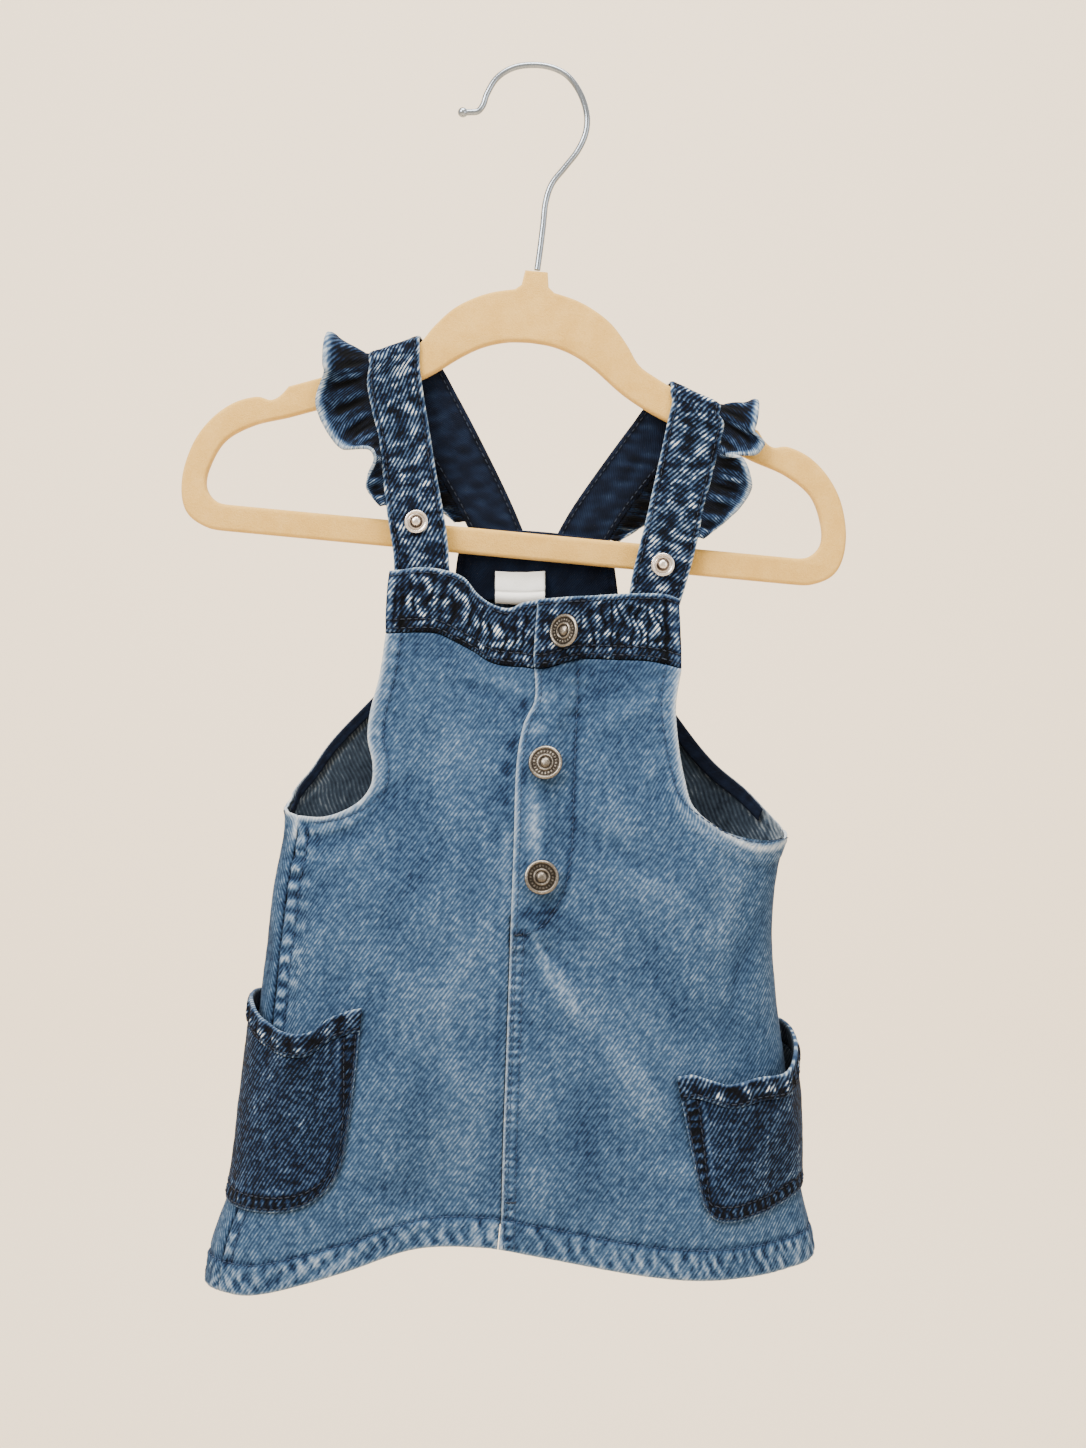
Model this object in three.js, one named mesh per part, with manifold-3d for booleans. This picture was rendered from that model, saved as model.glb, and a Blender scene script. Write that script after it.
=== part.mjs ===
// A small child's denim pinafore dress on a flocked hanger with a wire hook.
// Units are millimetres. +X is the viewer's right, +Y points from the dress's front to its back and
// +Z is up. The origin is the top of the hook's inside, where the whole piece hangs.

import * as THREE from 'three';
import Module from 'manifold-3d';
import { mergeVertices } from 'three/addons/utils/BufferGeometryUtils.js';

// Driving dimensions of the cloth
const GAP = 0.35;              // clearance between pieces at a seam
const DENIM = 1.4;             // wall of the body panels
const HEM_HEIGHT = 12.5;       // turned hem
const BAND_SEAM = 0.6;         // clearance below the band, which stands on a stepped edge
const HEM_STEP = 0.5;          // how far the turned hem stands out on each face
const BAND_WALL = 2.4;         // doubled band at the top of the bib
const BAND_OUT = 0.7;          // how far the band stands proud of the panel
const STRAP_WALL = 2.0;        // two layers
const RUFFLE_WALL = 1.1;
const FACING_WALL = 1.0;
const POCKET_WALL = 1.3;
const POCKET_BAND_WALL = 2.2;
const POCKET_BAND_HEIGHT = 9.5;
const SECTION_POWER = 2.4;     // how square the body's sections are; 2 is an ellipse

// Driving dimensions of the hanger
const HANGER_TILT = 5.4;       // degrees, right side down
const HANGER_WALL = 5.5;
const HANGER_CENTRE = 8.69;    // boss centre along the tilted hanger
const WIRE = 2.6;
const TIP_BALL = 4.2;

const JEANS_BUTTON = 14;
const SNAP = 9.8;

// Body sections, top to bottom: side silhouettes, the plane of the side seams and the depths of
// the front and back from that plane
const SECTIONS = [
  { z: -185, left: -105, right: 105, plane: -2, front: 11, back: 11 },
  { z: -215, left: -105, right: 105, plane: -2, front: 11.5, back: 11 },
  { z: -240, left: -105, right: 105, plane: -2, front: 13, back: 12 },
  { z: -275, left: -105, right: 105.5, plane: -2.5, front: 18, back: 16 },
  { z: -312, left: -104.3, right: 105.6, plane: -3, front: 25, back: 19.5 },
  { z: -322, left: -105.2, right: 105, plane: -3, front: 26.5, back: 20.5 },
  { z: -335, left: -107.8, right: 101.6, plane: -3.2, front: 28.5, back: 21.5 },
  { z: -350, left: -110.2, right: 99.6, plane: -3.4, front: 30.5, back: 22.5 },
  { z: -370, left: -112.4, right: 99.2, plane: -3.6, front: 32.5, back: 24 },
  { z: -392, left: -114.8, right: 101, plane: -3.8, front: 34.5, back: 25.5 },
  { z: -430, left: -119.5, right: 106, plane: -4, front: 37, back: 28 },
  { z: -465, left: -126, right: 110.5, plane: -4, front: 39, back: 30 },
  { z: -489, left: -134.5, right: 115.3, plane: -4, front: 40, back: 31 },
  { z: -515, left: -138.5, right: 117.5, plane: -4, front: 40.5, back: 31.5 },
];

// Side seams, in degrees round the body (0 is the middle of the front, 90 the right side), their
// upper ends and the clearance behind them
const SEAM = { left: -69, right: 98, leftTop: -313.2, rightTop: -319.6, gap: 0.7 };

// Upper edges of the front and the back panel in the middle
const PANEL_TOP = { front: -252.4, back: -222.6 };

// Largest soft folds: where the fold's crest runs, how wide it is in degrees and how far it
// stands out (in, where negative) at its deepest
const FOLDS = [
  { turn: -50, from: -330, to: -440, drift: -3, width: 7, depth: 2.0 },
  { turn: -62, from: -325, to: -420, drift: 0, width: 5, depth: -1.6 },
  { turn: -54, from: -430, to: -540, drift: 0, width: 14, depth: 3.0 },
  { turn: -17, from: -420, to: -540, drift: -2, width: 11, depth: -4.0 },
  { turn: 14, from: -340, to: -420, drift: 12, width: 6, depth: -1.2 },
  { turn: 36, from: -440, to: -540, drift: 2, width: 12, depth: 3.0 },
  { turn: 62, from: -430, to: -540, drift: 4, width: 8, depth: -1.8 },
  { turn: 40, from: -310, to: -400, drift: 6, width: 9, depth: 1.4 },
  { turn: -24, from: -268, to: -350, drift: -10, width: 8, depth: -1.3 },
  { turn: 128, from: -380, to: -540, drift: 3, width: 11, depth: 3.0 },
  { turn: 156, from: -330, to: -540, drift: 4, width: 12, depth: -3.4 },
  { turn: 186, from: -360, to: -540, drift: -3, width: 13, depth: 3.2 },
  { turn: 216, from: -330, to: -540, drift: -4, width: 12, depth: -3.0 },
  { turn: 242, from: -390, to: -540, drift: 0, width: 10, depth: 2.4 },
];

// Lower edge of the hem all the way round
const HEM_EDGE = [
  { turn: -180, z: -492 }, { turn: -140, z: -497 }, { turn: -110, z: -503 }, { turn: -88, z: -506.5 },
  { turn: -58, z: -507.2 }, { turn: -50, z: -505.4 }, { turn: -41, z: -501.2 }, { turn: -31, z: -495.2 },
  { turn: -18, z: -486.4 }, { turn: -5, z: -485.2 }, { turn: 5, z: -488.6 }, { turn: 25, z: -496.5 },
  { turn: 40, z: -499 }, { turn: 60, z: -498.5 }, { turn: 80, z: -496.2 }, { turn: 100, z: -493.5 },
  { turn: 140, z: -492 }, { turn: 180, z: -492 },
];

// Bib band: upper and lower edges from left to right
const BAND_TOP = [
  { x: -64, z: -212.2 }, { x: -56, z: -211.6 }, { x: -48, z: -210.6 }, { x: -38, z: -211.6 },
  { x: -29, z: -215.1 }, { x: -24, z: -221.2 }, { x: -18, z: -225.7 }, { x: -10.7, z: -227.6 },
  { x: -4, z: -225 }, { x: 14, z: -223.1 }, { x: 39, z: -221.5 }, { x: 54, z: -221.8 }, { x: 62, z: -224.6 },
];
const BAND_BOTTOM = [
  { x: -66, z: -237.9 }, { x: -48, z: -237.2 }, { x: -40, z: -237.8 }, { x: -33, z: -241.1 },
  { x: -25, z: -245.4 }, { x: -19, z: -249.3 }, { x: -13, z: -251 }, { x: -4, z: -251.7 },
  { x: 3, z: -252.6 }, { x: 11, z: -250.6 }, { x: 19, z: -248.4 }, { x: 34, z: -248.6 },
  { x: 49, z: -249.4 }, { x: 64, z: -253.4 },
];
const BAND_SIDES = [
  { z: -205, left: -58.5, right: 59.5 }, { z: -224, left: -61, right: 60 },
  { z: -240, left: -61.8, right: 60.6 }, { z: -256, left: -61.8, right: 60.6 },
];
const BAND_PUCKERS = 15;       // gathers in each half of the band
const BAND_LAP = 12;           // how far the left half runs under the right

// Edge of the right front, which laps over the left: buttoned down to FLY_END, sewn below it
const FLY_EDGE = [
  { z: -222, x: 0.9 }, { z: -245, x: -0.5 }, { z: -265, x: 0 }, { z: -276, x: -4.6 },
  { z: -292, x: -7.4 }, { z: -322, x: -8.4 }, { z: -361, x: -9.8 }, { z: -406, x: -11.3 },
  { z: -446, x: -12.7 }, { z: -520, x: -14.4 },
];
const FLY_END = -356;
const FLY_LAP = 11;

// Armhole edges, from the bib or the yoke down to the side seam
const ARMHOLE_FRONT_LEFT = [
  { x: -61.8, z: -238 }, { x: -64.2, z: -255 }, { x: -68, z: -271 }, { x: -68.8, z: -281 },
  { x: -66.6, z: -292 }, { x: -67.4, z: -301 }, { x: -73, z: -308 }, { x: -84.7, z: -313.2 },
  { x: -98.2, z: -313.2 },
];
const ARMHOLE_FRONT_RIGHT = [
  { x: 60.6, z: -253 }, { x: 58.2, z: -268 }, { x: 58.6, z: -280 }, { x: 61.2, z: -297 },
  { x: 65, z: -309 }, { x: 74, z: -317 }, { x: 86, z: -324.4 }, { x: 97.3, z: -326.4 },
  { x: 104.7, z: -322.6 },
];
const ARMHOLE_BACK_LEFT = [
  { x: -34.6, z: -222.4 }, { x: -48, z: -242 }, { x: -70.3, z: -265.7 }, { x: -87.6, z: -284.3 },
  { x: -95, z: -295 }, { x: -101.1, z: -302.8 },
];
const ARMHOLE_BACK_RIGHT = [
  { x: 35.2, z: -223.4 }, { x: 44, z: -246 }, { x: 60.5, z: -272.2 }, { x: 76.4, z: -292.1 },
  { x: 89.6, z: -303.3 }, { x: 98.2, z: -312.6 },
];
// Last stretch of the back armholes under the arms, in degrees round the body
const ARMHOLE_UNDER = {
  left: [{ turn: 262, z: -308 }, { turn: 276, z: -311.2 }],
  right: [{ turn: 103.5, z: -317.6 }],
};

// Back yoke: its sides, its upper edge and its seam to the back panel
const YOKE_SIDES = [
  { z: -190, left: -28, right: 31 }, { z: -204, left: -32.6, right: 33.4 },
  { z: -226, left: -35, right: 36 },
];
const YOKE_TOP = [{ x: -36, z: -192.8 }, { x: 0, z: -194 }, { x: 36, z: -198.2 }];
const YOKE_SEAM = [{ x: -40, z: -221.6 }, { x: 40, z: -223 }];

// Straps: a fold over the hanger's arm, then the two edges in front and behind, downwards.
// lead is how far along the arm the strap wanders for each millimetre it wraps
const STRAPS = {
  left: {
    fold: { x: -57.4, z: -120.7, rise: 19.3, bend: 3.1, outer: -11.15, inner: 11.2, lead: 0.213 },
    frontOuter: [
      { x: -70.2, z: -132.7 }, { x: -68.4, z: -143.8 }, { x: -65.4, z: -155.1 }, { x: -62.6, z: -179.8 },
      { x: -60.9, z: -192.3 }, { x: -59, z: -203.6 }, { x: -58.2, z: -219.5 },
    ],
    frontInner: [
      { x: -48.2, z: -125.2 }, { x: -46.8, z: -136.4 }, { x: -44.8, z: -148.4 }, { x: -40.9, z: -172.2 },
      { x: -38.5, z: -185 }, { x: -36.5, z: -198 }, { x: -35, z: -219.5 },
    ],
    backOuter: [{ x: -60.9, z: -134 }, { x: -41.8, z: -168 }, { x: -32.6, z: -184 }, { x: -24.6, z: -200.6 }],
    backInner: [{ x: -38.5, z: -126.5 }, { x: -24.9, z: -151.8 }, { x: -9.6, z: -183 }, { x: -2.4, z: -200.6 }],
  },
  right: {
    fold: { x: 65.5, z: -140.6, rise: -25, bend: 3.1, outer: 11.3, inner: -11.4, lead: -0.24 },
    frontOuter: [
      { x: 79, z: -149.5 }, { x: 78, z: -156 }, { x: 75.7, z: -164.9 }, { x: 73.4, z: -174.5 },
      { x: 70.4, z: -185 }, { x: 68.2, z: -196.9 }, { x: 64.4, z: -212 }, { x: 60.2, z: -226 },
    ],
    frontInner: [
      { x: 57.3, z: -140.5 }, { x: 55.2, z: -150.1 }, { x: 53.3, z: -159.1 }, { x: 48.7, z: -179.6 },
      { x: 46.1, z: -191 }, { x: 43, z: -203.2 }, { x: 40.4, z: -214 }, { x: 38.4, z: -226 },
    ],
    backOuter: [{ x: 68, z: -150.5 }, { x: 51.3, z: -170 }, { x: 38, z: -187 }, { x: 27.6, z: -203.6 }],
    backInner: [{ x: 46.6, z: -141.6 }, { x: 31.2, z: -162.2 }, { x: 14.6, z: -186 }, { x: 6, z: -201.6 }],
  },
};
const STRAP_FRONT_Y = { fold: -4.1, end: -9.1 };
const STRAP_BACK_Y = { fold: 4.1, end: 6.2 };

// Gathered frills on the straps' outer edges, from start to end along the strap. Each row is a
// crest or a hollow of the free edge: its place along the frill, how far it reaches out from the
// strap, how far it lifts off the strap's face and how far it slides along the strap
const RUFFLES = {
  left: {
    start: 0.18, end: 0.94,
    rows: [
      { at: 0, out: 1.5, lift: 0.5, slide: 0 }, { at: 0.05, out: 6.5, lift: 1, slide: 0 },
      { at: 0.09, out: 5.5, lift: 3.5, slide: 0 }, { at: 0.13, out: 1.8, lift: 6.5, slide: 0 },
      { at: 0.17, out: 4, lift: 7, slide: -1 }, { at: 0.21, out: 13, lift: 4, slide: -5 },
      { at: 0.245, out: 16.5, lift: 1.5, slide: -7.5 }, { at: 0.28, out: 20, lift: 0, slide: -3.5 },
      { at: 0.33, out: 22, lift: 0, slide: 0 }, { at: 0.38, out: 20.5, lift: 0.8, slide: 3 },
      { at: 0.42, out: 17.5, lift: 6.5, slide: 2 }, { at: 0.455, out: 12, lift: 13, slide: 0 },
      { at: 0.5, out: 8, lift: 5, slide: -8 }, { at: 0.56, out: 15, lift: 0.5, slide: -2 },
      { at: 0.63, out: 17, lift: 5.5, slide: 0 }, { at: 0.7, out: 14, lift: 0.5, slide: 0 },
      { at: 0.77, out: 14, lift: 5, slide: 1 }, { at: 0.84, out: 11, lift: 0.5, slide: 0 },
      { at: 0.91, out: 10, lift: 4, slide: 0 }, { at: 1, out: 4, lift: 0.5, slide: 0 },
    ],
  },
  right: {
    start: 0.17, end: 0.96,
    rows: [
      { at: 0, out: 1.2, lift: 0.5, slide: 0 }, { at: 0.05, out: 7, lift: 0.5, slide: -1 },
      { at: 0.11, out: 13.5, lift: 1, slide: 0 }, { at: 0.17, out: 16, lift: 2.5, slide: 0 },
      { at: 0.21, out: 15.5, lift: 5, slide: 0 }, { at: 0.25, out: 9.5, lift: 7, slide: 3 },
      { at: 0.28, out: 3, lift: 7.5, slide: -2 }, { at: 0.31, out: 7.5, lift: 6, slide: -4 },
      { at: 0.34, out: 14.5, lift: 2.5, slide: -5 }, { at: 0.37, out: 16, lift: 0.6, slide: -4.5 },
      { at: 0.405, out: 15.5, lift: 1, slide: -1 }, { at: 0.44, out: 14, lift: 5, slide: 0 },
      { at: 0.475, out: 12, lift: 10.5, slide: 0 }, { at: 0.51, out: 8, lift: 4.5, slide: -7 },
      { at: 0.56, out: 13, lift: 0.5, slide: -2 }, { at: 0.63, out: 16, lift: 5.5, slide: 0 },
      { at: 0.7, out: 14, lift: 0.5, slide: 0 }, { at: 0.77, out: 14, lift: 5, slide: 0 },
      { at: 0.84, out: 12, lift: 0.5, slide: 0 }, { at: 0.92, out: 10, lift: 4.5, slide: 0 },
      { at: 1, out: 4, lift: 0.5, slide: 0 },
    ],
  },
};
const RUFFLE_GATHERS = 16;     // small gathers along the root of each frill

// Patch pockets that wrap round the sides: mouth, bottom and how far the pocket stands off the
// body at the mouth, by degrees round the body
const POCKETS = {
  left: {
    slant: -1.5,
    rows: [
      { turn: -35.5, mouth: -390.2, bottom: -451, gape: 0 }, { turn: -37.2, mouth: -390.8, bottom: -460.2, gape: 0.9 },
      { turn: -39, mouth: -391.6, bottom: -464.4, gape: 2 }, { turn: -43, mouth: -394.2, bottom: -469.8, gape: 4.5 },
      { turn: -48, mouth: -400.2, bottom: -472.6, gape: 7 }, { turn: -56, mouth: -400.4, bottom: -473.8, gape: 8 },
      { turn: -66, mouth: -396.4, bottom: -473.6, gape: 6.5 }, { turn: -78, mouth: -390.5, bottom: -472, gape: 3.5 },
      { turn: -90, mouth: -387.6, bottom: -469, gape: 2 }, { turn: -102, mouth: -387, bottom: -464, gape: 1.5 },
      { turn: -114, mouth: -388, bottom: -452, gape: 0 },
    ],
  },
  right: {
    slant: 4,
    rows: [
      { turn: 35, mouth: -417.6, bottom: -468.5, gape: 0 }, { turn: 36.6, mouth: -417.3, bottom: -473.4, gape: 0.8 },
      { turn: 39, mouth: -417, bottom: -475.7, gape: 2 }, { turn: 44, mouth: -419.6, bottom: -476.3, gape: 4.5 },
      { turn: 48, mouth: -421.2, bottom: -475.6, gape: 6 }, { turn: 57, mouth: -419, bottom: -473.4, gape: 7.5 },
      { turn: 69, mouth: -418.2, bottom: -469.5, gape: 7 },
      { turn: 80, mouth: -411, bottom: -466.5, gape: 5 }, { turn: 90, mouth: -404.6, bottom: -463.5, gape: 3.6 },
      { turn: 104, mouth: -399.6, bottom: -460, gape: 2.5 }, { turn: 116, mouth: -399.4, bottom: -454, gape: 1 },
      { turn: 122, mouth: -400.4, bottom: -444, gape: 0 },
    ],
  },
};
const POCKET_PUCKERS = 11;

// Hanger outline on one side of its middle, in the hanger's own upright frame
const HANGER_OUTSIDE = [
  [8.3, -93.5], [17, -95.5], [25, -98.8], [33.2, -104.1], [40.3, -111.8], [46.4, -120.2], [54, -124.9],
  [64, -129.6], [76, -134.2], [87.4, -138.7], [98.9, -143],
];
const HANGER_TIP = [
  [98.9, -143], [102.1, -147.2], [106, -149.4], [112, -148.6], [121.2, -152], [129.5, -159], [136, -169],
  [139.6, -182], [139.2, -193.5], [135.3, -201], [127, -205.2], [118, -205.8],
];
const HANGER_INSIDE = [
  [0, -115], [9.5, -115.8], [19, -118.7], [28, -123.8], [42.5, -134.2], [60.5, -142.9], [86.2, -151.6],
  [98, -155.9], [112, -160.6], [123.2, -168.2], [128.7, -179.7], [129.2, -188.5], [124, -194.1], [115, -194.8],
];
const BOSS = { half: 4.75, top: -85.2, foot: [5.7, -91.4] };

// Centreline of the hook's wire from its tip to the boss, from the hanger's middle
const HOOK = [
  [-37.1, -20.4], [-34.2, -20.1], [-30.9, -19.4], [-29, -16.7], [-27.8, -11.9], [-24.3, -4.8],
  [-18.4, -0.1], [-11.1, 2], [-2.6, 2], [4.9, -0.8], [11, -7.4], [14.8, -16.3], [15.1, -23.9],
  [12.5, -31.8], [7.7, -39.4], [2.9, -47], [1.1, -54.8], [0.9, -65.3], [0.6, -75.9], [0.2, -84.85],
];

// Places of the hard pieces: x and z, how far they stand off the panel and how far they are turned
// to the left, in degrees
const BUTTONS = [
  { name: 'button_top', x: 13.4, z: -238.2, out: 5.6, swing: -36 },
  { name: 'button_middle', x: 4.7, z: -292.2, out: 2.2, swing: -8 },
  { name: 'button_low', x: 2.6, z: -338, out: 2.2, swing: 4 },
];
const SNAPS = [
  { name: 'snap_left', strap: 'left', x: -49.3, z: -191.4 },
  { name: 'snap_right', strap: 'right', x: 53.1, z: -209.3 },
];
const LABEL = { left: -16.8, right: 4.2, top: -211, fold: -224.6, wall: 0.9, puff: 1.3, sag: 0.5 };

// Colours from the garment
const COLOURS = {
  light: 0x7d9dc0, dark: 0x33507a, navy: 0x27385a, flock: 0xdcc79f,
  chrome: 0xc9ccd0, pewter: 0x8f8d8a, snap: 0xb9b2a6, label: 0xeeece6,
};

const vec = (x, y, z) => new THREE.Vector3(x, y, z);
const rad = THREE.MathUtils.degToRad;
const mix = THREE.MathUtils.lerp;
const ease = (value, low, high) => THREE.MathUtils.smoothstep(value, low, high);

// Smooth value of one column of a table, read at a place in another column
function read(table, key, place, column) {
  const rising = table[table.length - 1][key] > table[0][key];
  const rows = rising ? table : [...table].reverse();
  const last = rows.length - 1;
  if (place <= rows[0][key]) return rows[0][column];
  if (place >= rows[last][key]) return rows[last][column];
  const i = rows.findIndex((row) => row[key] > place) - 1;
  const slope = (k) => {
    const a = rows[Math.max(k - 1, 0)];
    const b = rows[Math.min(k + 1, last)];
    return (b[column] - a[column]) / (b[key] - a[key]);
  };
  const span = rows[i + 1][key] - rows[i][key];
  const t = (place - rows[i][key]) / span;
  const p0 = rows[i][column];
  const p1 = rows[i + 1][column];
  const m0 = slope(i) * span;
  const m1 = slope(i + 1) * span;
  return p0 + t * m0 + t * t * (3 * (p1 - p0) - 2 * m0 - m1) + t * t * t * (m0 + m1 - 2 * (p1 - p0));
}

function sectionAt(z) {
  const left = read(SECTIONS, 'z', z, 'left');
  const right = read(SECTIONS, 'z', z, 'right');
  return {
    middle: (left + right) / 2,
    half: (right - left) / 2,
    plane: read(SECTIONS, 'z', z, 'plane'),
    front: read(SECTIONS, 'z', z, 'front'),
    back: read(SECTIONS, 'z', z, 'back'),
  };
}

// Point of the smooth body, by degrees round it and height
function skin(turn, z) {
  const s = sectionAt(z);
  const across = Math.sin(rad(turn));
  const bulge = Math.max(0, 1 - Math.abs(across) ** SECTION_POWER) ** (1 / SECTION_POWER);
  const facesFront = Math.cos(rad(turn)) >= 0;
  const y = facesFront ? s.plane - s.front * bulge : s.plane + s.back * bulge;
  return vec(s.middle + s.half * across, y, z);
}

function skinNormal(turn, z) {
  const step = 1.5;
  const round = skin(turn + step, z).sub(skin(turn - step, z));
  const down = skin(turn, z - step).sub(skin(turn, z + step));
  return down.cross(round).normalize();
}

// How far the folds push the cloth out of the smooth body
function foldAt(turn, z) {
  let out = 0;
  for (const fold of FOLDS) {
    const along = (z - fold.from) / (fold.to - fold.from);
    if (along <= 0 || along >= 1) continue;
    const crest = fold.turn + fold.drift * along;
    const away = ((((turn - crest + 180) % 360) + 360) % 360) - 180;
    const ends = ease(along, 0, 0.4) * (fold.to < -520 ? 1 : ease(1 - along, 0, 0.4));
    out += fold.depth * ends * Math.exp(-((away / fold.width) ** 2));
  }
  return out;
}

// Point of the cloth: on the body, moved out along its normal
function cloth(turn, z, out) {
  return skin(turn, z).addScaledVector(skinNormal(turn, z), out + foldAt(turn, z));
}

// Degrees round the body of a place seen in front (or behind) at a height
function turnAt(x, z, side = 'front') {
  const s = sectionAt(z);
  const across = THREE.MathUtils.clamp((x - s.middle) / s.half, -1, 1);
  const turn = THREE.MathUtils.radToDeg(Math.asin(across));
  if (side === 'front') return turn;
  return turn >= 0 ? 180 - turn : -180 - turn;
}

// Closed solid between two matching grids of points
function wall(outer, inner) {
  const rows = outer.length;
  const columns = outer[0].length;
  const points = [...outer.flat(), ...inner.flat()];
  const front = (r, c) => r * columns + c;
  const back = (r, c) => rows * columns + r * columns + c;
  const faces = [];
  const quad = (a, b, c, d) => faces.push([a, b, c], [a, c, d]);
  for (let r = 0; r < rows - 1; r += 1) {
    for (let c = 0; c < columns - 1; c += 1) {
      quad(front(r, c), front(r, c + 1), front(r + 1, c + 1), front(r + 1, c));
      quad(back(r, c), back(r + 1, c), back(r + 1, c + 1), back(r, c + 1));
    }
    quad(front(r, 0), front(r + 1, 0), back(r + 1, 0), back(r, 0));
    quad(front(r + 1, columns - 1), front(r, columns - 1), back(r, columns - 1), back(r + 1, columns - 1));
  }
  for (let c = 0; c < columns - 1; c += 1) {
    quad(front(0, c + 1), front(0, c), back(0, c), back(0, c + 1));
    quad(front(rows - 1, c), front(rows - 1, c + 1), back(rows - 1, c + 1), back(rows - 1, c));
  }
  return solid(points, faces);
}

// Geometry from points and triangles, turned inside out if its faces point in
function solid(points, faces) {
  let volume = 0;
  for (const [a, b, c] of faces) {
    volume += points[a].dot(vec(0, 0, 0).crossVectors(points[b], points[c]));
  }
  const ordered = volume > 0 ? faces : faces.map(([a, b, c]) => [a, c, b]);
  const geometry = new THREE.BufferGeometry();
  geometry.setAttribute('position', new THREE.Float32BufferAttribute(points.flatMap((p) => p.toArray()), 3));
  geometry.setIndex(ordered.flat());
  return geometry;
}

// Wall from one function of column and row fractions, which gives a place and its two faces
function sheet(columns, rows, at) {
  const outer = [];
  const inner = [];
  for (let r = 0; r <= rows; r += 1) {
    const faces = Array.from({ length: columns + 1 }, (_, c) => at(c / columns, r / rows));
    outer.push(faces.map((face) => face.outer));
    inner.push(faces.map((face) => face.inner));
  }
  return wall(outer, inner);
}

// Wall of even thickness round a middle surface
function midSheet(columns, rows, at, thickness) {
  const step = 0.002;
  return sheet(columns, rows, (u, v) => {
    const across = at(Math.min(u + step, 1), v).sub(at(Math.max(u - step, 0), v));
    const down = at(u, Math.min(v + step, 1)).sub(at(u, Math.max(v - step, 0)));
    const normal = across.cross(down).normalize().multiplyScalar(thickness / 2);
    const point = at(u, v);
    return { outer: point.clone().add(normal), inner: point.clone().sub(normal) };
  });
}

// Body panels

// Edge of a panel as a curve in degrees and height: an armhole, then a side seam down to the hem
function armholeCurve(table, side, end, wrap = 0) {
  const points = table.map((row) => vec(turnAt(row.x, row.z, side) + wrap, row.z, 0));
  const under = end.map((row) => vec(row.turn, row.z, 0));
  return new THREE.CatmullRomCurve3([...points, ...under], false, 'centripetal');
}

function hemLine(turn) {
  const wrapped = ((((turn + 180) % 360) + 360) % 360) - 180;
  return read(HEM_EDGE, 'turn', wrapped, 'z');
}

const ARMHOLE_SHARE = 0.36;    // share of a panel's rows that run beside the armhole

// Left or right edge of a panel at one of its rows
function edgeAt(edge, share) {
  if (share < ARMHOLE_SHARE) {
    const p = edge.armhole.getPointAt(share / ARMHOLE_SHARE);
    return { turn: p.x, z: p.y };
  }
  const top = edge.armhole.getPointAt(1);
  const along = (share - ARMHOLE_SHARE) / (1 - ARMHOLE_SHARE);
  const bottom = hemLine(edge.seam) + HEM_HEIGHT;
  return { turn: mix(top.x, edge.seam, ease(along, 0, 0.08)), z: mix(top.y, bottom, along) };
}

// Rows of a panel: level in the middle, bent up to its armhole edges, ending in the turned hem
function panelRows(count) {
  const rows = Array.from({ length: count + 1 }, (_, r) => ({ share: r / count, hem: 0 }));
  rows.push({ share: 1, hem: 0.08 }, { share: 1, hem: 1 });
  return rows;
}

// Faces of the panel at one place, thicker along the hem
function panelFaces(turn, z, out, hem) {
  const step = hem > 0 ? HEM_STEP : 0;
  return { outer: cloth(turn, z, out + step), inner: cloth(turn, z, out - DENIM - step) };
}

function frontPanel(side, columns, count) {
  const isLeft = side === 'left';
  const seam = SEAM[side];
  const table = isLeft ? ARMHOLE_FRONT_LEFT : ARMHOLE_FRONT_RIGHT;
  const ends = isLeft ? [] : [{ turn: seam, z: SEAM.rightTop }];
  const edge = { armhole: armholeCurve(table, 'front', ends), seam };
  const outer = [];
  const inner = [];
  for (const row of panelRows(count)) {
    const start = edgeAt(edge, row.share);
    const middleZ = mix(PANEL_TOP.front, hemLine(0) + HEM_HEIGHT, row.share);
    const flyX = read(FLY_EDGE, 'z', middleZ, 'x');
    const lap = isLeft ? mix(-GAP, FLY_LAP, ease(middleZ, FLY_END + 2, FLY_END + 8)) : 0;
    const flyTurn = turnAt(flyX + lap, middleZ);
    const faces = [];
    for (let c = 0; c <= columns; c += 1) {
      const u = c / columns;
      const turn = mix(start.turn, flyTurn, u);
      const bend = 1 - (1 - u) ** 2;
      let z = mix(start.z, middleZ, bend);
      const x = skin(turn, z).x;
      const level = mix(edgeAt(edge, 0).z, PANEL_TOP.front, bend);
      const topGap = read(BAND_BOTTOM, 'x', x, 'z') - BAND_SEAM - level;
      const hemGap = hemLine(turn) + HEM_HEIGHT - mix(edgeAt(edge, 1).z, hemLine(0) + HEM_HEIGHT, bend);
      z += topGap * (1 - row.share) ** 5 + hemGap * row.share ** 3 - HEM_HEIGHT * row.hem;
      const over = isLeft ? 0 : flyRaise(x, z);
      faces.push(panelFaces(turn, z, over, row.hem));
    }
    outer.push(faces.map((face) => face.outer));
    inner.push(faces.map((face) => face.inner));
  }
  return wall(outer, inner);
}

// Lift of the right front beside its edge, where it lies on the left front
function flyRaise(x, z) {
  const fromEdge = x - read(FLY_EDGE, 'z', z, 'x');
  const near = 1 - ease(fromEdge, FLY_LAP + 1, FLY_LAP + 9);
  const buttoned = ease(z, FLY_END - 16, FLY_END - 2);
  return (DENIM + GAP) * near * buttoned;
}

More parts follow.
